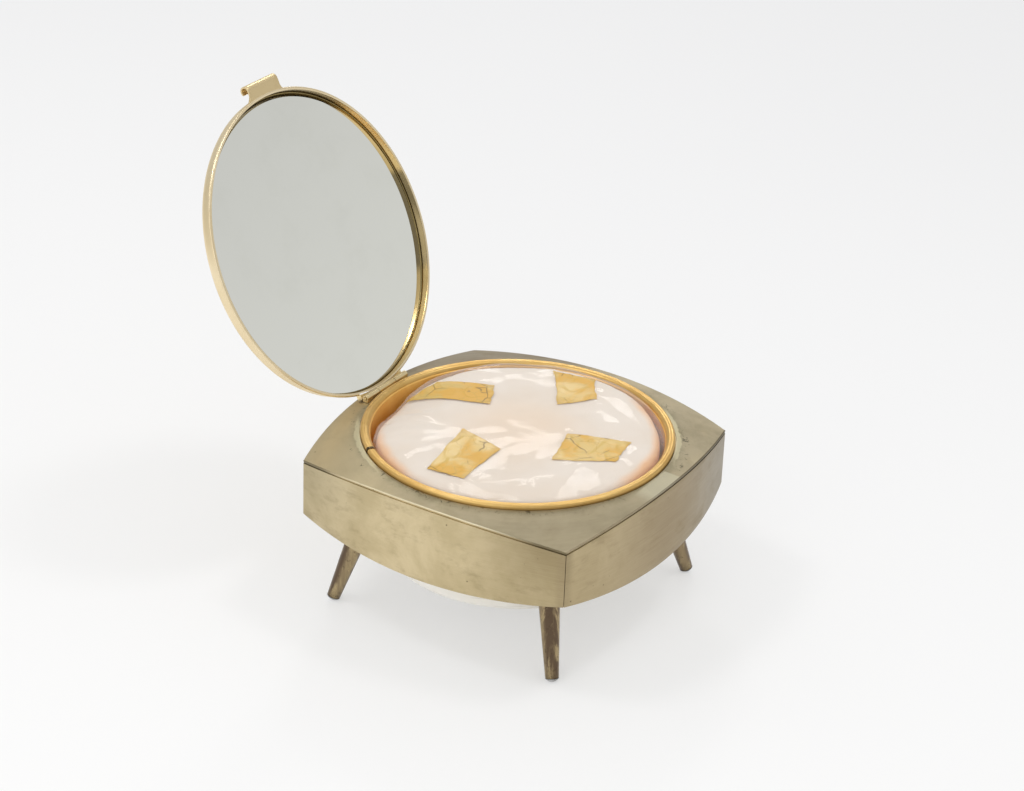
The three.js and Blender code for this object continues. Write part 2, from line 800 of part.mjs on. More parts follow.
function thumbTab() {
  const inside = wallRadius + rimBead + lidSeat;
  const bend = inside - lidSeat + tabReach;
  const sheetZ = rimZ + rimGap;
  const centreZ = sheetZ + tabCurl;
  const steps = 9;
  const curve = (radius) => {
    const points = [];
    for (let step = 0; step <= steps; step++) {
      const angle = tabCurlAngle * step / steps;
      points.push([-bend - radius * Math.sin(angle), centreZ - radius * Math.cos(angle)]);
    }
    return points;
  };
  const root = -inside + sideBulge;
  const outline = [
    [root, sheetZ],
    ...curve(tabCurl),
    ...curve(tabCurl - tabSheet).reverse(),
    [root, sheetZ + tabSheet],
  ];
  const basis = new THREE.Matrix4().makeBasis(
    new THREE.Vector3(0, 1, 0), new THREE.Vector3(0, 0, 1), new THREE.Vector3(1, 0, 0));
  const tab = prism(outline, tabWidth).applyMatrix4(basis).translate(-tabWidth / 2, 0, 0);
  return cut(tab, barZ(inside, 0, 0, rimZ - overrun, rimZ + lidCrown, 96));
}

// Movement

function movementScrewSpots() {
  const left = combX - combTeethLength - combBase / 2;
  const right = movementX + springBarrelRadius - movementScrewReach / 2;
  const front = springBarrelY - springBarrelRadius + movementScrewReach;
  return [[left, front], [right, front], [right, outerBracketY - movementScrewReach]];
}

function bedplate() {
  const left = combX - combTeethLength - combBase;
  const right = movementX + springBarrelRadius;
  const front = springBarrelY - springBarrelRadius - bedMargin;
  const back = outerBracketEnd + bedMargin / 2;
  const footBack = wormY + governorFrameWidth / 2 + bedMargin / 2;
  const plate = block(left, right, front, back, bedZ, bedTop);
  const foot = block(movementX - governorFrameReach, governorX + wormWheelRadius, front, footBack,
    bedZ, bedTop);
  const pad = block(left, combX - combTeethLength - combPadMargin,
    cylinderY, cylinderY + cylinderLength, bedZ, combZ - seat);
  const arborHole = barZ(arborRadius + bearing, movementX, springBarrelY,
    bedZ - overrun, bedTop + overrun);
  const screwHoles = movementScrewSpots().map(([x, y]) => (
    barZ(movementScrewRadius + screwClearance, x, y, bedZ - overrun, bedTop + overrun, 12)));
  const combHoleEnd = combZ + combSheet - combScrewLength - seat;
  const combHoles = combScrewSpots().map(([x, y]) => (
    barZ(combScrewRadius + screwClearance, x, y, combHoleEnd, combZ + overrun, 12)));
  return cut(join(plate, foot, pad), arborHole, ...screwHoles, ...combHoles);
}

function movementScrew([x, y]) {
  const length = bedTop - panFloorZ;
  return screwBody(movementScrewRadius, movementScrewHead, length, x, y, panFloorZ - seat, -1);
}

function springBarrel() {
  const inner = springBarrelRadius - sheet;
  const bore = arborRadius + bearing;
  const cup = turnedRing([
    [bore, springBarrelTop],
    [bore, springBarrelTop - sheet],
    [inner, springBarrelTop - sheet],
    [inner, springBarrelZ],
    [springBarrelRadius, springBarrelZ],
    [springBarrelRadius, springBarrelTop],
  ], 36);
  const half = wholeTurn * crownPitchRadius / crownTeeth / 2;
  const rootShare = 0.4;
  const tipShare = 0.24;
  const outline = [
    [-half * rootShare, -seat],
    [half * rootShare, -seat],
    [half * tipShare, crownToothHeight],
    [-half * tipShare, crownToothHeight],
  ];
  const teeth = [];
  for (let tooth = 0; tooth < crownTeeth; tooth++) {
    const angle = wholeTurn * (tooth + 1 / 2) / crownTeeth;
    const wedge = prism(outline, crownWidth).rotateX(quarter);
    teeth.push(wedge.translate(0, springBarrelRadius, springBarrelTop).rotateZ(angle));
  }
  return join(cup, ...teeth).translate(movementX, springBarrelY, 0);
}

function mainspring() {
  const stepsPerTurn = 18;
  const steps = springTurns * stepsPerTurn;
  const inner = arborRadius + springGap;
  const outer = springBarrelRadius - sheet - springGap - springSheet;
  const low = springBarrelZ + springBarrelRun;
  const high = springBarrelTop - sheet - springBarrelRun;
  const sections = [];
  for (let step = 0; step <= steps; step++) {
    const angle = wholeTurn * step / stepsPerTurn;
    const radius = THREE.MathUtils.lerp(inner, outer, step / steps);
    const at = (r, z) => [movementX + r * Math.cos(angle), springBarrelY + r * Math.sin(angle), z];
    const outside = radius + springSheet;
    sections.push([at(radius, low), at(outside, low), at(outside, high), at(radius, high)]);
  }
  return loopBody(sections, false);
}

const keyTopZ = panFloorZ - keyDrop;
const keyHubZ = keyTopZ - keyHubLength;

function windingArbor() {
  return barZ(arborRadius, movementX, springBarrelY, keyTopZ - keyBore + seat, springBarrelTop + seat);
}

function windingKey() {
  const span = keyWingSpan / 2;
  const high = keyWingHeight / 2;
  const cornerShares = [[1, 0.35], [0.8, 1], [0.35, 0.8], [0.12, 0.45]];
  const right = cornerShares.map(([across, up]) => [across * span, up * high]);
  const left = right.map(([x, z]) => [-x, z]).reverse();
  const upper = [...right, ...left];
  const lower = upper.map(([x, z]) => [x, -z]).reverse();
  const wings = prism([...upper, ...lower], keySheet).rotateX(quarter);
  wings.translate(0, keySheet / 2, keyHubZ + high - keySheet / 2);
  const hub = barZ(keyHubRadius, 0, 0, keyHubZ, keyTopZ, 14);
  const bore = barZ(arborRadius + bearing, 0, 0, keyTopZ - keyBore, keyTopZ + overrun);
  return cut(join(wings, hub), bore).translate(movementX, springBarrelY, 0);
}

function bearingBracket(y0, holes, right) {
  const top = cylinderZ + cylinderArborRadius + bracketOverhang;
  const plate = block(movementX - bracketHalfWidth, right, y0, y0 + bracketSheet, bedTop + seat, top);
  const end = y0 + bracketSheet + overrun;
  return cut(plate, ...holes.map(([x, z, radius]) => barY(radius, x, z, y0 - overrun, end)));
}

function cylinderArbor() {
  const start = innerBracketY - springBarrelRun - pinionLength;
  const shaft = barY(cylinderArborRadius, movementX, cylinderZ, start - seat, outerBracketEnd + seat);
  const points = gearPoints(pinionTeeth, pinionPitchRadius - crownToothHeight / 2,
    pinionPitchRadius + crownToothHeight / 3, 0.55, 0.3);
  const pinion = gearAlongY(points, quarter, movementX, cylinderZ, start, start + pinionLength - seat);
  return join(shaft, pinion);
}

function pinnedCylinder() {
  const sides = 30;
  const body = barY(cylinderRadius, 0, 0, 0, cylinderLength, sides);
  const goldenShare = 0.618;
  const pins = [];
  for (let track = 0; track < tracks; track++) {
    for (let pin = 0; pin < pinsPerTrack; pin++) {
      const angle = wholeTurn * (track * goldenShare + pin / pinsPerTrack);
      const cone = new THREE.CylinderGeometry(pinBase / 2, pinBase, 2 * pinHeight, 4).rotateZ(quarter);
      cone.rotateZ(Math.PI).translate(cylinderRadius, cylinderLength * (track + 1 / 2) / tracks, 0);
      pins.push(cone.rotateY(angle));
    }
  }
  const bore = barY(cylinderArborRadius + seat, 0, 0, -overrun, cylinderLength + overrun);
  return cut(join(body, ...pins), bore).translate(movementX, cylinderY, cylinderZ);
}

function cylinderWheel() {
  const points = gearPoints(wheelTeeth, wheelPitchRadius - toothRoot,
    wheelPitchRadius + toothTop, 0.5, 0.25);
  const wheel = gearAlongY(points, -governorAngle, movementX, cylinderZ,
    wheelY, wheelY + wheelThickness);
  return cut(wheel, barY(cylinderArborRadius + seat, movementX, cylinderZ,
    wheelY - overrun, outerBracketEnd));
}

function governorArbor() {
  const end = wormY + wormWheelThickness / 2;
  const shaft = barY(governorArborRadius, governorX, governorZ, wheelY - seat, end + bracketSheet, 12);
  const pinionPoints = gearPoints(pinionTeeth, governorPitchRadius - toothRoot,
    governorPitchRadius + toothTop, 0.5, 0.25);
  const halfTooth = Math.PI / pinionTeeth;
  const pinion = gearAlongY(pinionPoints, Math.PI - governorAngle + halfTooth, governorX, governorZ,
    wheelY, wheelY + wheelThickness);
  const wheelPoints = gearPoints(wormWheelTeeth, wormWheelRadius - toothRoot,
    wormWheelRadius, 0.6, 0.35);
  const wheel = gearAlongY(wheelPoints, 0, governorX, governorZ, end - wormWheelThickness, end);
  return join(shaft, pinion, wheel);
}

function governorFrame() {
  const left = movementX - governorFrameReach;
  const right = wormX + wormRadius;
  const half = governorFrameWidth / 2;
  const armTop = flyBaseZ - flyRun;
  const low = bedTop + seat;
  const foot = block(left, right, wormY - half, wormY + half, low, low + governorFrameArm);
  const post = block(left, left + governorFrameArm, wormY - half, wormY + half, low, armTop);
  const arm = block(left, right, wormY - half, wormY + half, armTop - governorFrameArm, armTop);
  const hole = barZ(wormPivot + bearing, wormX, wormY,
    bedTop + governorFrameArm / 2, armTop + overrun, 12);
  return cut(join(foot, post, arm), hole);
}

function wormAndFly() {
  const armTop = flyBaseZ - flyRun;
  const low = bedTop + seat + governorFrameArm + flyRun;
  const high = armTop - governorFrameArm - flyRun;
  const shaft = barZ(wormPivot, wormX, wormY, bedTop + governorFrameArm / 2 + seat, flyTopZ, 10);
  const worm = barZ(wormRadius, wormX, wormY, low, high, 12);
  const hub = barZ(wormHubRadius, wormX, wormY, flyBaseZ, flyTopZ, 10);
  const blade = block(wormX - flyRadius, wormX + flyRadius, wormY - flySheet / 2, wormY + flySheet / 2,
    flyBaseZ, flyTopZ);
  return join(shaft, worm, hub, blade);
}

function combScrewSpots() {
  const spotShares = [0.2, 0.8];
  const x = combX - combTeethLength - combBase / 2;
  return spotShares.map((share) => [x, cylinderY + cylinderLength * share]);
}

function comb() {
  const base = combX - combTeethLength;
  const pitch = cylinderLength / tracks;
  const outline = [[base - combBase, 0]];
  for (let tooth = 0; tooth < tracks; tooth++) {
    const from = tooth * pitch + combSlot / 2;
    const to = (tooth + 1) * pitch - combSlot / 2;
    if (tooth > 0) outline.push([base, from]);
    outline.push([combX, tooth > 0 ? from : 0], [combX, tooth < tracks - 1 ? to : cylinderLength]);
    if (tooth < tracks - 1) outline.push([base, to]);
  }
  outline.push([base - combBase, cylinderLength]);
  const plate = prism(outline, combSheet).translate(0, cylinderY, combZ);
  return cut(plate, ...combScrewSpots().map(([x, y]) => (
    barZ(combScrewRadius + screwClearance, x, y, combZ - overrun, combZ + combSheet + overrun, 12))));
}

function combScrew([x, y]) {
  return screwBody(combScrewRadius, combScrewHead, combScrewLength, x, y, combZ + combSheet + seat, 1);
}

// Start rod and brake

function startRod() {
  const top = domeZ(Math.hypot(rodX, rodY));
  return barZ(rodRadius, rodX, rodY, leverZ + leverSheet / 2 + seat, top, 12);
}

function brakeLever() {
  const half = leverWidth / 2;
  const bar = block(rodX - half, rodX + half, brakeY, rodY + leverTip,
    leverZ - leverSheet / 2, leverZ + leverSheet / 2);
  const hub = barX(leverHub, leverY, leverZ, rodX - half, rodX + half);
  const bore = barX(leverPinRadius + bearing, leverY, leverZ, rodX - overrun, rodX + overrun, 12);
  return cut(join(bar, hub), bore);
}

function leverBracket() {
  const inner = leverWidth / 2 + cheekGap;
  const outer = inner + cheekSheet;
  const half = bracketFoot / 2;
  const low = basePlateTop + seat;
  const high = leverZ + cheekRise;
  const cheeks = [-1, 1].map((side) => (
    block(rodX + Math.min(side * inner, side * outer), rodX + Math.max(side * inner, side * outer),
      leverY - half, leverY + half, low, high)));
  const foot = block(rodX - outer, rodX + outer, leverY - half, leverY + half, low, low + cheekSheet);
  const bore = barX(leverPinRadius + bearing, leverY, leverZ,
    rodX - outer - overrun, rodX + outer + overrun, 12);
  return cut(join(...cheeks, foot), bore);
}

function leverPin() {
  const half = leverWidth / 2 + cheekGap + cheekSheet + seat;
  return barX(leverPinRadius, leverY, leverZ, rodX - half, rodX + half, 12);
}

// The whole box

addPiece(box, 'top_plate', topPlate(), greyBrass);
['front', 'right', 'back', 'left'].forEach((name, side) => {
  addPiece(box, `side_wall_${name}`, sideWall(side), brass);
});
addPiece(box, 'base_plate', basePlate(), brass);
addPiece(box, 'base_pan', basePan(), paleEnamel);
addPiece(box, 'powder_well', powderWell(), gilt);
addPiece(box, 'bezel_ring', bezelRing(), gilt);
addPiece(box, 'puff', puff(), puffPink);
addPiece(box, 'puff_wrap', puffWrap(), clearFilm);
for (const tape of tapes) addPiece(box, tape.name, tapePiece(tape), amberTape);

for (const spot of legSpots()) {
  addPiece(box, `leg_${spot.name}`, leg(spot), darkBronze);
  addPiece(box, `glide_${spot.name}`, glide(spot), steel);
  addPiece(box, `leg_screw_${spot.name}`, legScrew(spot), steel);
}

addPiece(box, 'hinge_knuckle_left', caseKnuckle(-1), brass);
addPiece(box, 'hinge_knuckle_right', caseKnuckle(1), brass);
addPiece(box, 'hinge_pin', hingePin(), brass);

addPiece(lid, 'lid_leaf', lidLeaf(), brass);
addPiece(lid, 'lid_shell', lidShell(), brass);
addPiece(lid, 'mirror_retainer', mirrorRetainer(), brass);
const mirrorZ = rimZ + retainerDepth + retainerSheet + lidSeat;
addPiece(lid, 'mirror', disc(mirrorRadius, mirrorZ, mirrorGlass, 48), mirrorSilver);
const backingZ = mirrorZ + mirrorGlass + lidSeat;
addPiece(lid, 'mirror_backing', disc(mirrorRadius - backingInset, backingZ, backingCard, 32), card);
addPiece(lid, 'thumb_tab', thumbTab(), brass);

addPiece(box, 'bedplate', bedplate(), steel);
movementScrewSpots().forEach((spot, i) => {
  addPiece(box, `movement_screw_${i + 1}`, movementScrew(spot), steel);
});
addPiece(box, 'spring_barrel', springBarrel(), brass);
addPiece(box, 'mainspring', mainspring(), steel);
addPiece(box, 'winding_arbor', windingArbor(), steel);
addPiece(box, 'winding_key', windingKey(), steel);
const cylinderBearing = [movementX, cylinderZ, cylinderArborRadius + bearing];
const governorBearing = [governorX, governorZ, governorArborRadius + bearing];
const innerBracket = bearingBracket(innerBracketY, [cylinderBearing], movementX + bracketHalfWidth);
addPiece(box, 'bearing_bracket_inner', innerBracket, brass);
const outerBracket = bearingBracket(outerBracketY, [cylinderBearing, governorBearing],
  governorX + bracketOverhang);
addPiece(box, 'bearing_bracket_outer', outerBracket, brass);
addPiece(box, 'cylinder_arbor', cylinderArbor(), steel);
addPiece(box, 'pinned_cylinder', pinnedCylinder(), brass);
addPiece(box, 'cylinder_wheel', cylinderWheel(), brass);
addPiece(box, 'governor_arbor', governorArbor(), brass);
addPiece(box, 'governor_frame', governorFrame(), brass);
addPiece(box, 'worm_and_fly', wormAndFly(), steel);
addPiece(box, 'comb', comb(), steel);
combScrewSpots().forEach((spot, i) => {
  addPiece(box, `comb_screw_${i + 1}`, combScrew(spot), steel);
});
addPiece(box, 'start_rod', startRod(), steel);
addPiece(box, 'brake_lever', brakeLever(), steel);
addPiece(box, 'lever_bracket', leverBracket(), brass);
addPiece(box, 'lever_pin', leverPin(), steel);

// The lid turns back about the hinge axis
const lidPivot = new THREE.Group();
lidPivot.position.set(0, hingeY, hingeZ);
lidPivot.rotation.x = -openAngle;
lid.position.set(0, -hingeY, -hingeZ);
lidPivot.add(lid);
box.add(lidPivot);

export default box;
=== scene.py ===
# Musical powder box on four splayed legs, its mirror lid standing open.
# The pieces' sizes are in millimetres, and in metres once they're in Blender. The hinge is at +Y.
import math
import bpy
from mathutils import Matrix, Vector, noise
from mathutils.bvhtree import BVHTree


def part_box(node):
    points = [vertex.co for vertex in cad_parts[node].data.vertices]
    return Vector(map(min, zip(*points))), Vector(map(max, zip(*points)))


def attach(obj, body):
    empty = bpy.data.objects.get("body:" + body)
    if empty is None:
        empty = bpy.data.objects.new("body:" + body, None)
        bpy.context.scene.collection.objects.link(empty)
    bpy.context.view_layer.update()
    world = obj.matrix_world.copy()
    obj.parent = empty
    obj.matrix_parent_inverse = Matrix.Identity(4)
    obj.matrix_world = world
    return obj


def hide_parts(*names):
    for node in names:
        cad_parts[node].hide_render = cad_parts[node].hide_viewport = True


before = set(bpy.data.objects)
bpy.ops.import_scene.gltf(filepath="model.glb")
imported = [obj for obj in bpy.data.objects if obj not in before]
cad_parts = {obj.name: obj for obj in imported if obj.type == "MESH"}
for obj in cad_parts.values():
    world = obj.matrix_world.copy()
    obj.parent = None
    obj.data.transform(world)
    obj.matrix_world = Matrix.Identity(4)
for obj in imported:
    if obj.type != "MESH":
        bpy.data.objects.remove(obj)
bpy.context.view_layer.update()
mm = 0.001
full = 2 * math.pi  # a whole turn


# Shader maths

def joined(operation, swapped=False):
    def act(self, other):
        values = (other, self) if swapped else (self, other)
        return self.graph.maths(operation, *values)
    return act


class Wire:  # an output socket that can be added, multiplied and so on
    def __init__(self, graph, socket):
        self.graph = graph
        self.socket = socket

    __add__ = joined("ADD")
    __radd__ = joined("ADD", True)
    __sub__ = joined("SUBTRACT")
    __rsub__ = joined("SUBTRACT", True)
    __mul__ = joined("MULTIPLY")
    __rmul__ = joined("MULTIPLY", True)
    __truediv__ = joined("DIVIDE")
    __pow__ = joined("POWER")

    def __abs__(self):
        return self.graph.maths("ABSOLUTE", self)


def srgb(red, green, blue):  # 0 to 255 as a picture shows it, to a shader colour
    channels = []
    for value in (red, green, blue):
        value /= 255
        channels.append(value / 12.92 if value <= 0.04045 else ((value + 0.055) / 1.055) ** 2.4)
    return (*channels, 1)


class Graph:  # a node tree with short ways to add to it
    def __init__(self, tree):
        self.tree = tree
        self.place = None

    def plug(self, socket, value):
        if isinstance(value, Wire):
            self.tree.links.new(value.socket, socket)
        else:
            socket.default_value = value

    def node(self, kind, *values, output=0, setup=(), **named):
        made = self.tree.nodes.new("ShaderNode" + kind)
        for key, value in setup:
            setattr(made, key, value)
        for key, value in [*enumerate(values), *named.items()]:
            self.plug(made.inputs[key], value)
        return Wire(self, made.outputs[output]) if made.outputs else None

    def maths(self, operation, *values):
        return self.node("Math", *values, setup=[("operation", operation)])

    def where(self):  # object coordinates, one node for the whole tree
        if self.place is None:
            self.place = self.node("TexCoord", output="Object")
        return self.place

    def axes(self, at=None):
        split = self.node("SeparateXYZ", at or self.where())
        return [Wire(self, output) for output in split.socket.node.outputs]

    def clouds(self, scale, detail=4.0, rough=0.55, twist=0.0, at=None):
        return self.node("TexNoise", Vector=at or self.where(), Scale=scale, Detail=detail,
                         Roughness=rough, Distortion=twist)

    def streaks(self, scale, detail, rough, twist=0.0):  # clouds with a scale for each axis
        drawn = self.node("Mapping", self.where(), Scale=scale)
        return self.clouds(1.0, detail, rough, twist, drawn)

    def cells(self, scale, feature="DISTANCE_TO_EDGE", at=None):
        return self.node("TexVoronoi", Vector=at or self.where(), Scale=scale,
                         setup=[("feature", feature)])

    def warped(self, scale, reach):  # object coordinates that wander
        drift = self.node("TexNoise", output=1, Vector=self.where(), Scale=scale)
        return self.node("VectorMath", drift, (reach, reach, reach), self.where(),
                         setup=[("operation", "MULTIPLY_ADD")])

    def ramp(self, value, low, high, first=0.0, last=1.0):  # smooth step from low to high
        return self.node("MapRange", value, low, high, first, last,
                         setup=[("interpolation_type", "SMOOTHSTEP")])

    def mixed(self, factor, *colours):  # two, as wires or as a picture shows them
        made = self.node("Mix", factor, setup=[("data_type", "RGBA")], output=2)
        for socket, colour in zip(made.socket.node.inputs[6:8], colours):
            self.plug(socket, srgb(*colour) if isinstance(colour, tuple) else colour)
        return made

    def coats(self, colour, layers):  # each a mask and the shade that it brings
        for mask, shade in layers:
            colour = self.mixed(mask, colour, shade)
        return colour

    def rays(self, *kinds):  # one for a ray of one of these kinds
        path = self.node("LightPath").socket.node
        first, *others = (Wire(self, path.outputs[f"Is {kind} Ray"]) for kind in kinds)
        return sum(others, first)


class Paint(Graph):
    def __init__(self, name, **fixed):
        self.material = bpy.data.materials.new(name)
        self.material.use_nodes = True
        super().__init__(self.material.node_tree)
        self.shader = self.tree.nodes["Principled BSDF"]
        for socketName, value in fixed.items():
            self.feed(socketName, value)

    def feed(self, socketName, value):
        self.plug(self.shader.inputs[socketName], value)

    def finish(self, colour, rough, height=0, distance=0, strength=0):
        self.feed("Base Color", colour)
        self.feed("Roughness", rough)
        if strength:
            bump = self.node("Bump", Height=height, Distance=distance, Strength=strength)
            self.feed("Normal", bump)
        return self

    def blended(self, share, first, second):  # two shaders in place of the plain one
        both = self.node("MixShader", share, first, second)
        self.plug(self.tree.nodes["Material Output"].inputs["Surface"], both)

    def plain(self):
        return Wire(self, self.shader.outputs[0])


# Modelling helpers

def named(piece, name):
    piece.name = name
    piece.data.name = name
    return piece


def fresh(name):  # names what was just added
    return named(bpy.context.object, name)


def pick(piece):
    bpy.ops.object.select_all(action="DESELECT")
    piece.select_set(True)
    bpy.context.view_layer.objects.active = piece


def editing(on):
    bpy.ops.object.mode_set(mode="EDIT" if on else "OBJECT")


def selectAll():
    bpy.ops.mesh.select_all(action="SELECT")


def openMesh(piece):  # into edit mode, with everything selected
    pick(piece)
    editing(True)
    selectAll()


def tidyMesh(piece):
    openMesh(piece)
    bpy.ops.mesh.remove_doubles(threshold=1e-6)
    bpy.ops.mesh.normals_make_consistent(inside=False)
    editing(False)


def startPoint(name, point):  # a mesh of one vertex, in edit mode
    bpy.ops.mesh.primitive_plane_add(size=0.002)
    piece = fresh(name)
    editing(True)
    selectAll()
    bpy.ops.mesh.merge(type="CENTER")
    bpy.ops.transform.translate(value=point)
    return piece


def drawOn(points):  # extrudes the selected vertex from point to point
    for last, here in zip(points, points[1:]):
        step = [b - a for a, b in zip(last, here)]
        bpy.ops.mesh.extrude_vertices_move(TRANSFORM_OT_translate={"value": step})


def spun(name, profile, steps=192, angle=full):  # profile of (radius, height), closed by its last point
    points = [(radius * mm, 0, height * mm) for radius, height in profile]
    piece = startPoint(name, points[0])
    drawOn(points)
    selectAll()
    bpy.ops.mesh.spin(steps=steps, angle=angle, center=(0, 0, 0), axis=(0, 0, 1))
    editing(False)
    tidyMesh(piece)
    if angle < full:
        openMesh(piece)
        bpy.ops.mesh.select_all(action="DESELECT")
        bpy.ops.mesh.select_non_manifold()
        bpy.ops.mesh.fill_holes(sides=0)
        editing(False)
        tidyMesh(piece)
    return piece


def apply(piece, kind, **settings):
    pick(piece)
    modifier = piece.modifiers.new(kind.title(), kind)
    for key, value in settings.items():
        setattr(modifier, key, value)
    bpy.ops.object.modifier_apply(modifier=modifier.name)


def softened(piece, width, segments, angle):
    apply(piece, "BEVEL", width=width * mm, segments=segments, limit_method="ANGLE",
          angle_limit=math.radians(angle))


def cutAway(piece, point, normal):  # removes what lies on the normal's side
    openMesh(piece)
    bpy.ops.mesh.bisect(plane_co=[v * mm for v in point], plane_no=normal, use_fill=True,
                        clear_outer=True, threshold=1e-6)
    editing(False)


def moved(piece, matrix):  # into place, in the mesh itself
    piece.data.transform(matrix)


def copied(piece, name, matrix):
    twin = piece.copy()
    twin.data = piece.data.copy()
    bpy.context.collection.objects.link(named(twin, name))
    moved(twin, matrix)
    return twin


def block(name, low, high):
    middle = [(a + b) / 2 * mm for a, b in zip(low, high)]
    bpy.ops.mesh.primitive_cube_add(size=1, location=middle)
    piece = fresh(name)
    piece.scale = [(b - a) * mm for a, b in zip(low, high)]
    bpy.ops.object.transform_apply()
    return piece


def carve(piece, *tools):
    for tool in tools:
        apply(piece, "BOOLEAN", object=tool, operation="DIFFERENCE", solver="EXACT")
        bpy.data.objects.remove(tool)


def arcPoints(x, z, radius, start, end, steps):  # degrees, as (x, z) pairs
    angles = [math.radians(start + (end - start) * i / steps) for i in range(steps + 1)]
    return [(x + radius * math.cos(a), z + radius * math.sin(a)) for a in angles]


def drilled(name, x, y, radius, low, high):
    bpy.ops.mesh.primitive_cylinder_add(vertices=48, radius=radius, depth=high - low,
                                        location=(x, y, (low + high) / 2))
    bpy.ops.object.transform_apply()
    return fresh(name)


def boreFor(name, room, low, high):  # round a CAD node that stands upright
    first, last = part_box(name)
    return drilled("bore", (first[0] + last[0]) / 2, (first[1] + last[1]) / 2,
                   (last[0] - first[0]) / 2 + room * mm, low, high)


def dress(piece, paint, body, slotName, *nodes, angle=35):  # edges above the angle stay sharp
    pick(piece)
    bpy.ops.object.shade_smooth_by_angle(angle=math.radians(angle))
    piece.data.materials.clear()
    piece.data.materials.append(paint.material)
    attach(piece, body)
    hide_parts(*nodes)


# Camera and studio

studio = {
    "camera": (-58.2, 27.25, 2.25),  # azimuth, elevation and roll of the photograph, in degrees
    "distance": 865.5,
    "aim": (0, 0, 30.8),
    "offset": (-2.11, 27.7),
    "focal": 3012,  # pixels, as the width
    "width": 1024,
    "sensor": 36,
    "near": 0.05,
    "lamps": {
        "topLeft": {"power": 2.0, "size": 0.24, "at": (-0.38, 0.5, 1.1)},
        "topRight": {"power": 2.0, "size": 0.24, "at": (0.3, -0.42, 1.2)},
        "keyLight": {"power": 2.4, "size": 0.8, "at": (-1.15, -0.1, 0.8)},
        "backLight": {"power": 1.3, "size": 0.2, "at": (0.85, 0.55, 0.75)},
    },
    "lit": (0, 0, 0.05),  # what the lamps face
    "ambient": 0.8,
    "backdrop": (242, 242, 243),
    "reflected": (  # what the metal sees, from straight below to straight above
        (0.0, (225, 225, 222)),
        (0.5, (214, 214, 210)),
        (0.56, (219, 219, 215)),
        (0.68, (190, 190, 189)),
        (0.92, (190, 190, 190)),
        (1.0, (232, 232, 232)),
    ),
}
floorShape = {
    "size": 6,
    "mottle": ((243, 243, 244), (247, 247, 247)),
    "glow": 0.5,  # lightens the floor's shadow for the camera alone
    "glowNear": (247, 247, 246),
    "glowFar": (218, 218, 219),
    "fade": (-0.25, 0.7),  # metres, along the fall-off
    "slant": 0.2,
}


def placeCamera():
    azimuth, elevation, roll = (math.radians(v) for v in studio["camera"])
    back = Vector((math.sin(azimuth) * math.cos(elevation), -math.cos(azimuth) * math.cos(elevation),
                   math.sin(elevation)))
    right = Vector((math.cos(azimuth), math.sin(azimuth), 0))
    up = back.cross(right)
    across, above = studio["offset"]
    place = Vector(studio["aim"]) + back * studio["distance"] + right * across + up * above
    rolledRight = right * math.cos(roll) + up * math.sin(roll)
    rolledUp = up * math.cos(roll) - right * math.sin(roll)
    lens = bpy.data.cameras.new("camera")
    lens.sensor_width = studio["sensor"]
    lens.lens = studio["focal"] * studio["sensor"] / studio["width"]
    lens.clip_start = studio["near"]
    camera = bpy.data.objects.new("camera", lens)
    bpy.context.collection.objects.link(camera)
    turn = Matrix((rolledRight, rolledUp, back)).transposed().to_4x4()
    camera.matrix_world = Matrix.Translation(place * mm) @ turn
    bpy.context.scene.camera = camera


def areaLight(name, facts):
    lamp = bpy.data.lights.new(name, "AREA")
    lamp.energy = facts["power"]
    lamp.shape = "SQUARE"
    lamp.size = facts["size"]
    light = bpy.data.objects.new(name, lamp)
    bpy.context.collection.objects.link(light)
    light.location = facts["at"]
    towards = Vector(facts["at"]) - Vector(studio["lit"])
    light.rotation_euler = towards.to_track_quat("Z", "Y").to_euler()


def makeWorld():
    world = bpy.data.worlds.new("studio")
    bpy.context.scene.world = world
    world.use_nodes = True
    world.node_tree.nodes.clear()
    sky = Graph(world.node_tree)
    height = sky.axes(sky.node("TexCoord", output="Generated"))[2]
    reflected = sky.node("ValToRGB", sky.maths("MULTIPLY_ADD", height, 0.5, 0.5))
    stops = reflected.socket.node.color_ramp.elements
    while len(stops) < len(studio["reflected"]):
        stops.new(0.5)
    for stop, (position, colour) in zip(stops, studio["reflected"]):
        stop.position = position
        stop.color = srgb(*colour)
    ambient = studio["ambient"]
    allRound = sky.node("Background", (ambient, ambient, ambient, 1), 1.0)
    mirrored = sky.node("Background", reflected, 1.0)
    backdrop = sky.node("Background", srgb(*studio["backdrop"]), 1.0)
    lit = sky.node("MixShader", sky.rays("Glossy", "Transmission"), allRound, mirrored)
    sky.node("OutputWorld", sky.node("MixShader", sky.rays("Camera"), lit, backdrop))


def makeStage():
    bpy.ops.mesh.primitive_plane_add(size=floorShape["size"])
    floor = fresh("floor")
    white = Paint("floorWhite")
    white.feed("Specular IOR Level", 0.2)
    white.finish(white.mixed(white.clouds(3.0), *floorShape["mottle"]), 0.6)
    seen = white.rays("Camera", "Glossy", "Transmission") * floorShape["glow"]
    x, y = white.axes()[:2]
    far = white.ramp(x + y * floorShape["slant"], *floorShape["fade"])
    shade = white.mixed(far, floorShape["glowNear"], floorShape["glowFar"])
    white.blended(seen, white.plain(), white.node("Emission", shade))
    floor.data.materials.append(white.material)


placeCamera()
makeWorld()
makeStage()
for lampName, lampFacts in studio["lamps"].items():
    areaLight(lampName, lampFacts)
print("studio ready")


# Finishes. A ramp along x, y, z or a radius starts and ends at places in metres.

domeRise = 2.375  # how fast the case's domed top falls off, per metre
crownRise = 1.869  # and the lid's
arcAway = 0.10093  # from the middle to the centre of a side's arc
corners = ("front_left", "front_right", "back_right", "back_left")


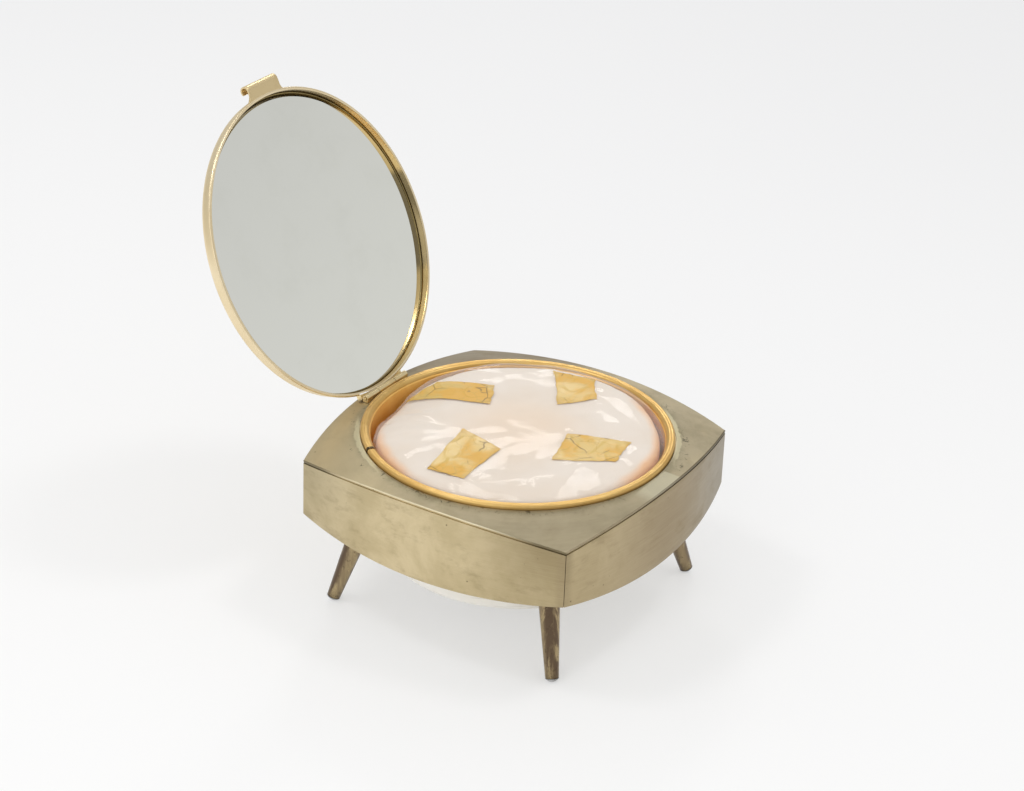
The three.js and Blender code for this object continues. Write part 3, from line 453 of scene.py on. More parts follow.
def caseBrass():
    paint = Paint("caseBrass", Metallic=1.0)
    x, y, z = paint.axes()
    radius = (x * x + y * y) ** 0.5
    level = z + radius * radius * domeRise
    onTop = paint.ramp(level, 0.05475, 0.05495)
    broad = paint.ramp(paint.clouds(40, 6, 0.66, 0.3), 0.38, 0.64)
    grain = paint.streaks((90, 90, 2600), 5, 0.7)
    stain = paint.ramp(paint.streaks((90, 90, 190), 7, 0.68, 0.2), 0.5, 0.72)
    dents = paint.cells(300, "F1") + paint.clouds(1900, 2) * 0.12
    pits = paint.ramp(dents, 0.09, 0.16, 1, 0) * paint.ramp(paint.clouds(190, 1), 0.5, 0.56)
    khaki = paint.mixed(broad, (217, 199, 160), (197, 179, 139))
    khaki = paint.mixed(stain * 0.5, khaki, (160, 142, 108))
    colour = paint.mixed(onTop, paintedWallShade(paint, x, y, z, khaki), topWearAndShade(paint, x, y, radius))
    colour = edgeHighlightAndDarkRim(paint, x, y, level, paint.mixed(pits * 0.6, colour, (84, 72, 50)))
    colour = paint.mixed((grain - 0.5) * 0.3 + 0.1, colour, (232, 220, 182))
    rough = 0.32 + broad * 0.08 + stain * 0.14 + pits * 0.3 + onTop * 0.12
    uneven = grain * 0.25 + paint.clouds(60, 3) * 1.6 - pits * 1.2
    return paint.finish(colour, rough, uneven, 0.00012, 0.5)


def paintedWallShade(paint, x, y, z, khaki):  # painted shade: the left wall darker towards its corners and higher up, the front wall darker all over and most towards +X
    left = paint.ramp(x, -0.043, -0.04, 1, 0)
    front = paint.ramp(y, -0.0425, -0.0405, 1, 0)
    high = paint.ramp(z, 0.03, 0.046, 0.6, 1)
    return paint.coats(khaki, [
        (left * paint.ramp(y, -0.008, -0.04, 0, 0.85) * high, (146, 128, 94)),
        (left * paint.ramp(y, 0.01, 0.044, 0, 0.6) * high, (162, 150, 122)),
        (front * paint.ramp(x, -0.046, 0.004, 0.42, 1), (150, 131, 101)),
        (front * paint.ramp(x, 0.0, 0.044, 0, 0.75), (132, 124, 110)),
    ])


def topWearAndShade(paint, x, y, radius):  # greyer than the walls, corroded beside the ring, with painted shade beside the ring and towards the front and back corners
    blotch = paint.ramp(paint.clouds(95, 6, 0.65), 0.35, 0.7)
    # painted shade beside the raised ring, mottled as corrosion
    shadeAndCorrosionByRing = paint.ramp(radius, 0.0447, 0.0485, 1, 0) * (0.25 + 0.45 * blotch)
    crumbs = paint.ramp(paint.clouds(620, 6, 0.72, 0.8), 0.54, 0.6)
    crumbs = crumbs * paint.ramp(paint.clouds(120, 3), 0.42, 0.56)
    crumbs = crumbs * paint.ramp(radius, 0.0454, 0.0478, 1, 0)
    sides = paint.ramp(y - x, 0.0605, 0.0625) + paint.ramp(x * 0.574 - y * 0.819, 0.0425, 0.0445)
    # paler just outside the ring on two sides
    paleBandByRing = sides * paint.ramp(radius + paint.clouds(260, 3) * 0.002, 0.0472, 0.0476, 1, 0)
    nicks = paint.ramp(paint.clouds(480, 5, 0.7, 1.2), 0.56, 0.6)
    nicks = nicks * paint.ramp(paint.clouds(150, 2), 0.44, 0.54)
    nicks = nicks * paint.ramp(radius, 0.0466, 0.0472) * paint.ramp(radius, 0.0485, 0.0492, 1, 0)
    wearAndSheen = paint.ramp(x + y * 0.2, -0.022, -0.016) * paint.ramp(x + y * 0.3, -0.0086, -0.0081, 1, 0)
    wearAndSheen = wearAndSheen * paint.ramp(y, -0.0448, -0.0456)
    colour = paint.mixed(blotch, (204, 190, 160), (180, 167, 138))
    return paint.coats(colour, [
        # painted shade towards the front and back corners, paler towards the back left corner
        (paint.ramp(x + y, -0.04, -0.075, 0, 0.65), (148, 137, 113)),
        (paint.ramp(x + y, 0.042, 0.07, 0, 0.8), (126, 112, 94)),
        (paint.ramp(y - x, 0.045, 0.072, 0, 0.6), (216, 199, 160)),
        (shadeAndCorrosionByRing, (136, 131, 104)),
        (crumbs * 0.9, (66, 60, 42)),
        (paleBandByRing * 0.8, (228, 219, 184)),
        (nicks * sides * 0.9, (62, 58, 46)),
        (wearAndSheen * 0.7, (222, 216, 190)),
    ])


def edgeHighlightAndDarkRim(paint, x, y, level, colour):  # painted highlight along the left side's middle; the rims darker at the corners and along the front
    left = ((x - arcAway) ** 2 + y * y) ** 0.5
    front = (x * x + (y - arcAway) ** 2) ** 0.5
    high = paint.ramp(level, 0.0541, 0.0542)
    leftRim = high * paint.ramp(left, 0.15055, 0.1507)
    frontRim = high * paint.ramp(front, 0.15045, 0.1506)
    # painted highlight along the left side's top edge
    edgeHighlight = leftRim * paint.ramp(level, 0.0548, 0.05488) * paint.ramp(y * y, 0.0002, 0.001, 0.85, 0)
    return paint.coats(colour, [
        (edgeHighlight, (252, 242, 210)),
        (leftRim * paint.ramp(y * y, 0.0007, 0.0014, 0, 0.8), (96, 84, 60)),
        (frontRim * paint.ramp(x, -0.02, 0.02, 0.35, 0.9), (92, 80, 60)),
    ])


def goldBrass(name, bright, dull, rough, metallic=1.0, inside=None):  # polished, its lacquer worn
    paint = Paint(name, Metallic=metallic)
    broad = paint.ramp(paint.clouds(70, 5, 0.6, 0.3), 0.34, 0.68)
    spots = paint.ramp(paint.cells(1500, "F1"), 0.1, 0.2, 1, 0)
    spots = spots * paint.ramp(paint.clouds(120, 3), 0.62, 0.7)
    fine = paint.clouds(900, 4, 0.6)
    colour = paint.mixed(broad, bright, dull)
    colour = paint.mixed(spots * 0.6, colour, (120, 88, 40))
    if inside:
        mask, shade = inside(paint)
        colour = paint.mixed(mask * 0.9, colour, shade)
        rough = rough - mask * 0.15
    colour = paint.mixed(fine * 0.1, colour, (250, 232, 190))
    rough = rough + broad * 0.08 + fine * 0.04 + spots * 0.2
    return paint.finish(colour, rough, paint.clouds(60, 2), 0.00001, 0.5)


def ringJointShade(paint):  # painted shade where the ring's ends meet
    angle = math.radians(ringShape["jointAt"])
    x, y = paint.axes()[:2]
    across = x * math.sin(angle) - y * math.cos(angle)
    jointShade = paint.ramp(across * across, 2.4e-7, 4.2e-7, 1, 0)
    return jointShade * paint.ramp(y, 0.0, 0.001), (58, 40, 24)


def paintedLidReflection(paint):  # painted reflection on the lid's inner wall, olive, gold and a dark patch, measured as if the lid were shut
    hingeY, hingeZ = lidShape["hinge"]
    shut = paint.node("VectorRotate", setup=[("rotation_type", "X_AXIS")], Vector=paint.where(),
                      Center=(0, hingeY * mm, hingeZ * mm), Angle=math.radians(lidShape["open"]))
    x, y, z = paint.axes(shut)
    square = x * x + y * y
    mask = paint.ramp(square ** 0.5, 0.04478, 0.0449, 1, 0)
    mask = mask * paint.ramp(z + square * crownRise, 0.05945, 0.0596, 1, 0)
    warm = paint.mixed(paint.ramp(y, -0.036, -0.028), (126, 108, 66), (222, 190, 124))
    dark = paint.ramp(y, -0.009, -0.006) * paint.ramp(y, 0.02, 0.024, 1, 0)
    return mask, paint.mixed(dark * 0.85, warm, (84, 73, 46))


def legBrass():
    paint = Paint("legBrass")
    x, y, z = paint.axes()
    worn = paint.ramp(paint.streaks((420, 420, 60), 5, 0.66, 0.3), 0.46, 0.66)
    drawn = paint.streaks((1900, 1900, 160), 4, 0.6)
    speck = paint.ramp(paint.clouds(900, 3, 0.6), 0.6, 0.68)
    # painted sheen: each leg lighter towards its sides, broken up by its worn streaks
    across = abs(abs(x) - abs(y)) * 0.707
    wearAndSheen = paint.ramp(across / (z * 0.055 + 0.0019) + (worn - 0.5) * 0.6, 0.25, 0.75)
    colour = paint.mixed(worn * 0.4 + wearAndSheen * 0.6, (100, 82, 64), (190, 170, 130))
    colour = paint.coats(colour, [
        (paint.ramp(z, 0.0, 0.005, 0.6, 0), (92, 80, 58)),
        (speck * 0.5, (74, 62, 46)),
        (drawn * 0.35, (92, 76, 58)),
    ])
    paint.feed("Metallic", 0.75 + worn * 0.25)
    return paint.finish(colour, 0.34 - worn * 0.08, drawn + worn * 0.5, 0.00005, 0.6)


def mirrorSilver():
    paint = Paint("mirrorSilver", Metallic=1.0)
    haze = paint.ramp(paint.clouds(55, 5, 0.6), 0.45, 0.8)
    colour = paint.mixed(haze * 0.4, (247, 248, 244), (236, 237, 231))
    return paint.finish(colour, 0.015 + haze * 0.02)


def panIvory(name, high, low):
    paint = Paint(name)
    broad = paint.ramp(paint.clouds(45, 4, 0.55), 0.3, 0.7)
    scuff = paint.ramp(paint.streaks((70, 70, 900), 5, 0.6), 0.6, 0.7)
    colour = paint.mixed(scuff * 0.35, paint.mixed(broad, high, low), (190, 184, 170))
    return paint.finish(colour, 0.38 + scuff * 0.2, paint.clouds(700, 3), 0.00004, 0.4)


def plushPaint():  # short pale pile, warmer at the middle and where the gold wall glows on it
    paint = Paint("plush")
    paint.feed("Sheen Weight", 0.35)
    paint.feed("Sheen Roughness", 0.5)
    x, y = paint.axes()[:2]
    radius = (x * x + y * y) ** 0.5
    lumps = paint.ramp(paint.clouds(55, 4, 0.6), 0.3, 0.72)
    pile = paint.clouds(2600, 3, 0.7)
    middle = paint.ramp(radius, 0.006, 0.026, 1, 0)
    rim = paint.ramp(radius + paint.clouds(60, 3) * 0.004, 0.0392, 0.0425)
    away = x * 0.85 + y * 0.53  # from the photograph's side: the glow is to its left and right
    rim = rim * paint.ramp(away, 0.026, 0.016) * paint.ramp(away, -0.032, -0.022)
    colour = paint.mixed(lumps, (235, 229, 221), (229, 219, 206))
    colour = paint.coats(colour, [
        (middle * 0.45, (236, 210, 178)),
        (rim * 0.85, (246, 190, 124)),
        (pile * 0.1, (226, 212, 202)),
    ])
    return paint.finish(colour, 0.9, pile, 0.0002, 0.6)


def steelPaint(name, bright, dull, rough):
    paint = Paint(name, Metallic=1.0)
    turned = paint.streaks((300, 300, 4200), 4, 0.6)
    tarnish = paint.ramp(paint.clouds(240, 4), 0.42, 0.7)
    rough = rough + turned * 0.1 + tarnish * 0.12
    return paint.finish(paint.mixed(tarnish, bright, dull), rough, turned, 0.00003, 0.5)


def cardPaint():
    paint = Paint("card")
    fibres = paint.streaks((1500, 400, 400), 5, 0.7, 0.2)
    colour = paint.mixed(fibres, (150, 128, 98), (118, 98, 72))
    return paint.finish(colour, 0.85, fibres, 0.0001, 0.5)


def finishNodes(paint, *names):  # CAD nodes that keep their own shape
    for name in names:
        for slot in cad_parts[name].material_slots:
            slot.material = paint.material


caseMetal = caseBrass()
wellMetal = goldBrass("wellGold", (252, 204, 112), (244, 188, 92), 0.3, 0.6)
hingeMetal = goldBrass("hingeBrass", (246, 226, 178), (230, 206, 154), 0.3)
legMetal = legBrass()
ivory = panIvory("panIvory", (252, 249, 242), (246, 242, 232))
baseIvory = panIvory("baseIvory", (232, 227, 214), (222, 216, 200))
steel = steelPaint("steel", (200, 200, 200), (150, 148, 142), 0.28)
clockBrass = steelPaint("clockBrass", (222, 196, 128), (186, 158, 96), 0.3)
combSteel = steelPaint("combSteel", (178, 182, 190), (140, 144, 152), 0.25)
card = cardPaint()

finishNodes(baseIvory, "base_plate")
finishNodes(hingeMetal, "hinge_knuckle_left", "hinge_knuckle_right", "lid_leaf", "hinge_pin")
finishNodes(card, "mirror_backing")
finishNodes(combSteel, "comb")
finishNodes(clockBrass, "bedplate", "spring_barrel", "bearing_bracket_inner", "bearing_bracket_outer",
            "pinned_cylinder", "cylinder_wheel", "governor_frame", "lever_bracket", "winding_key")
finishNodes(steel, "mainspring", "winding_arbor", "cylinder_arbor", "governor_arbor", "worm_and_fly",
            "start_rod", "brake_lever", "lever_pin", "comb_screw_1", "comb_screw_2",
            *(f"movement_screw_{number}" for number in (1, 2, 3)),
            *(f"leg_screw_{corner}" for corner in corners))
print("finishes ready")


# Case

caseShape = {
    "halfSide": 43.55,
    "midSide": 49.97,
    "sideRadius": 150.9,
    "apex": 55.03,
    "domeRadius": 210.5,
    "hole": 42.75,
    "seat": 45.05,  # the ring is let into the dome
    "seatHeight": 49.69,
    "recess": (10.6, 40, 50, 0.004),  # for the hinge: half its length, from, to, clear of the seat
    "rodRoom": 0.2,
    "sheet": 0.8,
    "wallGap": 0.81,
    "skirtRadius": 187.0,
    "skirtLow": 18.9,
    "mitreGap": 0.05,
    "overrun": 1.5,  # mitred off
    "steps": 48,
    "rows": 14,
    "cuts": (5, 0, 10),  # extra loops on the seat, its wall and the dome
    "edge": 0.1,
    "wallEdge": 0.04,
}


def sidePoint(angle):  # on the front side's arc
    radius = caseShape["sideRadius"]
    return radius * math.sin(angle), radius - caseShape["midSide"] - radius * math.cos(angle), 0


def outlinePoint(step):  # round the curved square from its front left corner, in millimetres
    side, along = divmod(step, caseShape["steps"])
    reach = math.asin(caseShape["halfSide"] / caseShape["sideRadius"])
    angle = reach * (2 * along / caseShape["steps"] - 1)
    return Matrix.Rotation(side * full / 4, 3, "Z") @ Vector(sidePoint(angle))


def domeHeight(radius):
    return caseShape["apex"] - radius ** 2 / (2 * caseShape["domeRadius"])


def skirtHeight(radius):
    return caseShape["skirtLow"] + radius ** 2 / (2 * caseShape["skirtRadius"])


def choose(piece, test):  # selects vertices in object mode
    mesh = piece.data
    for parts in (mesh.vertices, mesh.edges, mesh.polygons):
        parts.foreach_set("select", [False] * len(parts))
    for vertex in mesh.vertices:
        vertex.select = test(vertex)


def facing(piece, direction):  # turns an open sheet's faces over where they look the wrong way
    tidyMesh(piece)
    total = sum((face.normal * face.area for face in piece.data.polygons), Vector())
    if total.dot(Vector(direction)) < 0:
        openMesh(piece)
        bpy.ops.mesh.flip_normals()
        editing(False)


def makeCaseTop():
    steps = 4 * caseShape["steps"]
    hole, seat, seatHeight = (caseShape[key] for key in ("hole", "seat", "seatHeight"))
    loops = [(hole, seatHeight), (seat, seatHeight), (seat, domeHeight(seat)), None]
    bpy.ops.mesh.primitive_circle_add(vertices=steps, radius=hole * mm)
    top = fresh("caseTop")
    editing(True)
    for loop in loops[1:]:
        bpy.ops.mesh.primitive_circle_add(vertices=steps, radius=seat * mm)
    editing(False)
    for vertex in top.data.vertices:
        loop, step = divmod(vertex.index, steps)
        edge = outlinePoint(step)
        if loops[loop]:
            radius, height = loops[loop]
            edge = edge.normalized() * radius
            edge.z = height
        vertex.co = edge * mm
    for loop, cuts in enumerate(caseShape["cuts"]):
        choose(top, lambda v: loop * steps <= v.index < (loop + 2) * steps)
        pick(top)
        editing(True)
        bpy.ops.mesh.bridge_edge_loops(number_cuts=cuts, interpolation="LINEAR")
        editing(False)
    for vertex in top.data.vertices:
        radius = math.hypot(vertex.co.x, vertex.co.y) / mm
        if radius > seat + 0.01:
            vertex.co.z = domeHeight(radius) * mm
    facing(top, (0, 0, 1))
    apply(top, "SOLIDIFY", thickness=caseShape["sheet"] * mm, offset=-1)
    half, near, far, clear = caseShape["recess"]
    recess = block("recess", (-half, near, seatHeight + clear), (half, far, caseShape["apex"]))
    carve(top, boreFor("start_rod", caseShape["rodRoom"], 0.04, 0.06), recess)
    softened(top, caseShape["edge"], 3, 50)
    dress(top, caseMetal, "case", "top_plate", "top_plate", angle=30)


def makeWalls():
    reach = math.asin((caseShape["halfSide"] + caseShape["overrun"]) / caseShape["sideRadius"])
    angles = [reach * (2 * i / caseShape["steps"] - 1) for i in range(caseShape["steps"] + 1)]
    points = [[value * mm for value in sidePoint(angle)] for angle in angles]
    wall = startPoint("wallFront", points[0])
    drawOn(points)
    selectAll()
    for row in range(caseShape["rows"]):
        bpy.ops.mesh.extrude_region_move(TRANSFORM_OT_translate={"value": (0, 0, mm)})
    editing(False)
    for vertex in wall.data.vertices:
        share = vertex.co.z / mm / caseShape["rows"]
        out = math.hypot(vertex.co.x, vertex.co.y) / mm
        low, high = skirtHeight(out), domeHeight(out) - caseShape["wallGap"]
        vertex.co.z = (low + (high - low) * share) * mm
    facing(wall, (0, -1, 0))
    apply(wall, "SOLIDIFY", thickness=caseShape["sheet"] * mm, offset=-1, use_even_offset=True)
    gap = caseShape["mitreGap"]
    cutAway(wall, (-gap, -gap, 0), (1, 1, 0))
    cutAway(wall, (gap, -gap, 0), (-1, 1, 0))
    softened(wall, caseShape["wallEdge"], 2, 40)
    dress(wall, caseMetal, "case", "side_walls", "side_wall_front", angle=30)
    for turn, side in enumerate(("right", "back", "left"), 1):
        twin = copied(wall, "wall" + side.title(), Matrix.Rotation(turn * full / 4, 4, "Z"))
        dress(twin, caseMetal, "case", "side_walls", "side_wall_" + side, angle=30)


makeCaseTop()
makeWalls()
print("case made")


# Ring and well

ringShape = {
    "foot": 49.8,
    "seat": 50.39,
    "outer": 44.8,
    "skirtInner": 44.2,
    "inner": 42.22,
    "outerBead": (44.1, 50.75, 0.7, 0, 112),
    "innerBead": (43.38, 50.3, 1.18, 75, 174),
    "joint": 0.6,
    "jointAt": 141.5,
}
ringMetal = goldBrass("ringBrass", (228, 190, 118), (216, 174, 98), 0.36, inside=ringJointShade)


def makeRing():
    outerBead = arcPoints(*ringShape["outerBead"], 10)
    innerBead = arcPoints(*ringShape["innerBead"], 12)
    seat = ringShape["seat"]
    skirt, outer, foot = ringShape["skirtInner"], ringShape["outer"], ringShape["foot"]
    profile = [(skirt, seat), (skirt, foot), (outer - 0.1, foot), (outer, foot + 0.1),
               *outerBead, *innerBead, (ringShape["inner"] + 0.08, seat), (skirt, seat)]
    gap = ringShape["joint"] / outer
    ring = spun("bezelRing", profile, 240, full - gap)
    moved(ring, Matrix.Rotation(math.radians(ringShape["jointAt"]) + gap / 2, 4, "Z"))
    dress(ring, ringMetal, "case", "bezel_ring", "bezel_ring", angle=40)


wellShape = {
    "inner": 42.0,
    "outer": 42.5,
    "flange": 43.65,
    "top": 50.293,
    "under": 49.8,
    "floor": 39.593,
    "sheet": 0.5,
    "corner": 1.8,
}


def makeWell():
    inner, outer, flange, top, under, floor, sheet, bend = wellShape.values()
    profile = [
        (0, floor), *arcPoints(inner - bend, floor + bend, bend, -90, 0, 8),
        (inner, top - 0.3), (inner + 0.3, top), (flange, top), (flange, under),
        (outer + 0.2, under), (outer, under - 0.2),
        *arcPoints(inner - bend, floor + bend, bend + sheet, 0, -90, 8), (0, floor - sheet),
    ]
    well = spun("powderWell", profile)
    dress(well, wellMetal, "case", "powder_well", "powder_well")


makeRing()
makeWell()
print("ring and well made")


# Underside: pan, legs and feet

panShape = {
    "radius": 37.6,
    "floor": 13.6,
    "sheet": 0.8,
    "corner": 2.0,
    "flange": 39.6,
    "flangeLow": 30.377,
    "bores": {  # the room round each node that comes through
        "winding_arbor": 0.4,
        "movement_screw_1": -0.6,
        "movement_screw_2": -0.6,
        "movement_screw_3": -0.6,
    },
}


def makePan():
    radius, floor, sheet, corner, flange, low, bores = panShape.values()
    profile = [
        (0, floor + sheet), *arcPoints(radius - corner, floor + corner, corner - sheet, -90, 0, 10),
        (radius - sheet, low + sheet), (flange, low + sheet), (flange, low), (radius, low),
        *arcPoints(radius - corner, floor + corner, corner, 0, -90, 12), (0, floor),
    ]
    pan = spun("basePan", profile, 160)
    carve(pan, *[boreFor(name, room, 0.01, 0.02) for name, room in bores.items()])
    dress(pan, ivory, "case", "base_pan", "base_pan")


legShape = {
    "at": (-36.9, -36.9, 2.28),
    "lean": (0.25, 0.25, 1.0),
    "footStart": -1.342,
    "footRadius": 1.93,
    "topRadius": 3.45,
    "top": 29.177,
    "ball": 2.4,
    "over": 1.5,  # cut off level at the top
}


def makeLegs():
    lean = Vector(legShape["lean"])
    tilt = lean.to_track_quat("Z", "Y").to_matrix().to_4x4()
    place = Matrix.Translation(Vector(legShape["at"]) * mm) @ tilt
    start, foot, over = legShape["footStart"], legShape["footRadius"], legShape["over"]
    length = (legShape["top"] - legShape["at"][2]) * lean.length
    leg = spun("legFrontLeft", [
        (0, start), (foot - 0.3, start), (foot - 0.08, start + 0.08), (foot, start + 0.3),
        (legShape["topRadius"], length), (legShape["topRadius"] + 0.1, length + over), (0, length + over),
    ], 48)
    moved(leg, place)
    cutAway(leg, (0, 0, legShape["top"]), (0, 0, 1))
    reach = -math.degrees(math.acos(foot / legShape["ball"])) + 0.4
    ball = arcPoints(0, 0, legShape["ball"], -90, reach, 10)
    glide = spun("glideFrontLeft", [*reversed(ball), (0, start - 0.02), (foot, start - 0.02)], 48)
    moved(glide, place)
    cutAway(glide, (0, 0, 0), (0, 0, -1))
    for turn, corner in enumerate(corners):
        name = corner.title().replace("_", "")
        spin = Matrix.Rotation(turn * full / 4, 4, "Z")
        legHere = copied(leg, "leg" + name, spin) if turn else leg
        glideHere = copied(glide, "glide" + name, spin) if turn else glide
        dress(legHere, legMetal, "case", "legs", "leg_" + corner)
        dress(glideHere, steel, "case", "glides", "glide_" + corner)


makePan()
makeLegs()
print("underside made")


# Lid, modelled shut and turned open

lidShape = {
    "hinge": (46.0, 50.893),
    "open": 117.6,
    "rim": 51.993,
    "wall": 45.3,
    "inner": 44.7,
    "bead": 0.5,
    "shoulder": (43.1, 54.493, 2.2),
    "shoulderEnd": 80.5,
    "crown": 60.193,
    "sheet": 0.6,
    "notch": (10.4, 20, 50, 1.16),  # for the hinge: half its length, from, to, above the rim
}
mirrorShape = {
    "radius": 43.95,
    "slip": (0.3, 0.6, 0),  # it has sunk towards the hinge in its ring
    "front": 54.4,
    "glass": 1.4,
    "retainer": (44.2, 44.65, 54.093, 54.593),
}
tabShape = {
    "width": 13.8,
    "root": 45.3,
    "flare": 1.5,  # each side, where it leaves the rim
    "bend": 48.4,
    "height": 52.093,
    "sheet": 0.5,
    "curl": 1.5,
    "turn": 225,
    "aside": 0.7,  # it has been bent a little to the right
    "fade": 1.7,  # how far from the rim the flare reaches
    "rows": 6,
    "curlRows": 24,
    "columns": 12,
}


def openLid(piece):
    y, z = (value * mm for value in lidShape["hinge"])
    about = Matrix.Translation((0, y, z))
    turn = Matrix.Rotation(math.radians(-lidShape["open"]), 4, "X")
    moved(piece, about @ turn @ about.inverted())


def crownPoints(edgeRadius, edgeHeight, top, steps):  # a shallow dome from its edge to the middle
    points = []
    for step in range(1, steps + 1):
        radius = edgeRadius * (1 - step / steps)
        points.append((radius, top - (top - edgeHeight) * (radius / edgeRadius) ** 2))
    return points


def makeLid():
    x, z, bend = lidShape["shoulder"]
    end, sheet, rim = lidShape["shoulderEnd"], lidShape["sheet"], lidShape["rim"]
    outside = arcPoints(x, z, bend, 0, end, 10)
    inside = arcPoints(x, z, bend - sheet, 0, end, 8)
    bead = arcPoints(lidShape["wall"], rim + lidShape["bead"], lidShape["bead"], -120, 75, 10)
    profile = [
        (0, lidShape["crown"] - sheet),
        *reversed(crownPoints(*inside[-1], lidShape["crown"] - sheet, 14)[:-1]),
        *reversed(inside),
        (lidShape["inner"], rim + 0.35), (lidShape["inner"] + 0.1, rim + 0.12),
        *bead, (lidShape["wall"], rim + 1.12), *outside,
        *crownPoints(*outside[-1], lidShape["crown"], 14),
    ]
    lid = spun("lidShell", profile, 224)
    half, near, far, above = lidShape["notch"]
    notch = block("notch", (-half, near, rim - 1), (half, far, rim + above))
    carve(notch, drilled("keep", 0, 0, (lidShape["wall"] + 0.01) * mm, 0.04, 0.06))
    carve(lid, notch)
    openLid(lid)
    dress(lid, lidMetal, "lid", "lid", "lid_shell")


def makeMirror():
    radius, front = mirrorShape["radius"], mirrorShape["front"]
    back = front + mirrorShape["glass"]
    mirror = spun("mirrorGlass", [(0, front), (radius - 0.15, front), (radius, front + 0.15),
                                  (radius, back), (0, back)])
    moved(mirror, Matrix.Translation(Vector(mirrorShape["slip"]) * mm))
    openLid(mirror)
    dress(mirror, mirrorMetal, "lid", "mirror", "mirror")
    inner, outer, low, high = mirrorShape["retainer"]
    middle = (low + high) / 2
    retainer = spun("mirrorRetainer", [
        (inner + 0.25, low), (outer - 0.15, low), (outer, low + 0.15), (outer, high),
        (inner + 0.25, high), *arcPoints(inner + 0.25, middle, 0.25, 90, 270, 8),
    ])
    openLid(retainer)
    dress(retainer, retainerMetal, "lid", "mirror_retainer", "mirror_retainer", angle=40)


def makeTab():
    height, curl, sheet = tabShape["height"], tabShape["curl"], tabShape["sheet"]
    bend, half = -tabShape["bend"], tabShape["width"] / 2
    rows, columns = tabShape["rows"], tabShape["columns"]
    path = [(bend + (-tabShape["root"] - bend) * (1 - step / rows), height) for step in range(rows)]
    for step in range(tabShape["curlRows"] + 1):
        angle = math.radians(tabShape["turn"] * step / tabShape["curlRows"])
        path.append((bend - curl * math.sin(angle), height + curl - curl * math.cos(angle)))
    points = [(-half * mm, y * mm, z * mm) for y, z in path]
    tab = startPoint("thumbTab", points[0])
    drawOn(points)
    selectAll()
    for step in range(columns):
        bpy.ops.mesh.extrude_region_move(TRANSFORM_OT_translate={"value": (2 * half / columns * mm, 0, 0)})
    editing(False)
    for vertex in tab.data.vertices:
        share = max(0, 1 - (-vertex.co.y / mm - tabShape["root"]) / tabShape["fade"])
        vertex.co.x *= 1 + share ** 2 * tabShape["flare"] / half
        vertex.co.y += share * vertex.co.x ** 2 / (2 * tabShape["root"] * mm)
        vertex.co.x += (1 - share) * tabShape["aside"] * mm
    facing(tab, (0, 0, -1))
    apply(tab, "SOLIDIFY", thickness=sheet * mm, offset=-1, use_even_offset=True)
    softened(tab, 0.1, 2, 50)
    openLid(tab)
    dress(tab, tabMetal, "lid", "lid", "thumb_tab")


lidMetal = goldBrass("lidBrass", (248, 231, 196), (238, 219, 180), 0.35, inside=paintedLidReflection)
retainerMetal = goldBrass("retainerBrass", (146, 128, 80), (118, 102, 62), 0.25)
tabMetal = goldBrass("tabBrass", (234, 212, 166), (222, 200, 154), 0.4)
mirrorMetal = mirrorSilver()
makeLid()
makeMirror()
makeTab()
print("lid made")


# Puff, its clear wrapper and the yellowed tapes

puffShape = {
    "radius": 41.05,
    "low": 39.93,
    "side": 50.55,
    "crown": 51.4,
    "round": 1.9,
    "dips": (  # way round in degrees, spread, inwards and down
        (99, 22, 1.0, 3.6),
        (0, 62, -0.55, -1.15),
        (-46, 15, 0.3, 0.35),
        (19, 3, 0, -0.5),
    ),
    "grow": 10,  # cloth is solved ten times full size
    "voxel": 0.013,  # metres, at that size
    "frames": 14,
    "pressure": 4,
    "most": 0.35,  # how far the cloth may move a point
    "lumps": ((90, 0.22), (260, 0.07)),  # how close together, and how high
    "worn": 0.2,
}
filmShape = {
    "clear": 0.38,
    "foot": 44.0,
    "pinned": 46.8,
    "voxel": 0.0105,
    "frames": 26,
    "slack": -0.055,
    "most": 1.4,
    "start": (9, 0.004),
    "eased": 16,
    "flat": (0.115, 0.115),
    "area": 0.0076,
}


def padProfile(out, low):  # half the outline of the pad, from its foot to its crown
    radius, bend = puffShape["radius"] + out, puffShape["round"] + out
    centre, top = radius - bend, puffShape["side"] + out
    shoulder = arcPoints(centre, top - bend, bend, 0, 78, 8)
    foot = arcPoints(centre, low + 2, 2, -90, 0, 5)
    foot = [(min(r + bend - 2, radius), z) for r, z in foot]
    return [(0, low), *foot, *shoulder, *crownPoints(*shoulder[-1], puffShape["crown"] + out, 12)]


def settle(piece):  # where the pad is pushed in and hangs lower
    for vertex in piece.data.vertices:
        place = vertex.co
        radius = math.hypot(place.x, place.y) / mm
        way = math.degrees(math.atan2(place.y, place.x))
        for middle, spread, inward, down in puffShape["dips"]:
            off = (way - middle + 180) % 360 - 180
            share = math.exp(-(off / spread) ** 2)
            outer = min(1, max(0, (radius - 20) / 20)) ** 2 * share
            upper = min(1, max(0, (place.z / mm - 43) / 6))
            place.x *= 1 - inward * outer / max(radius, 1)
            place.y *= 1 - inward * outer / max(radius, 1)
            place.z -= down * outer * upper * mm


def solve(piece, shape, before, gravity=1, **settings):
    pick(piece)
    cloth = piece.modifiers.new("Cloth", "CLOTH")
    cloth.collision_settings.use_self_collision = False
    cloth.collision_settings.distance_min = 0.001
    cloth.settings.effector_weights.gravity = gravity
    for key, value in settings.items():
        setattr(cloth.settings, key, value)
    cloth.point_cache.frame_start = 1
    cloth.point_cache.frame_end = shape["frames"]
    for number in range(1, shape["frames"] + 1):
        bpy.context.scene.frame_set(number)
    pick(piece)
    bpy.ops.object.modifier_apply(modifier=cloth.name)
    bpy.context.scene.frame_set(1)
    most = shape["most"] * mm * puffShape["grow"]
    for vertex, start in zip(piece.data.vertices, before):
        step = vertex.co - start
        vertex.co = start + step * min(1, most / max(step.length, 1e-9))


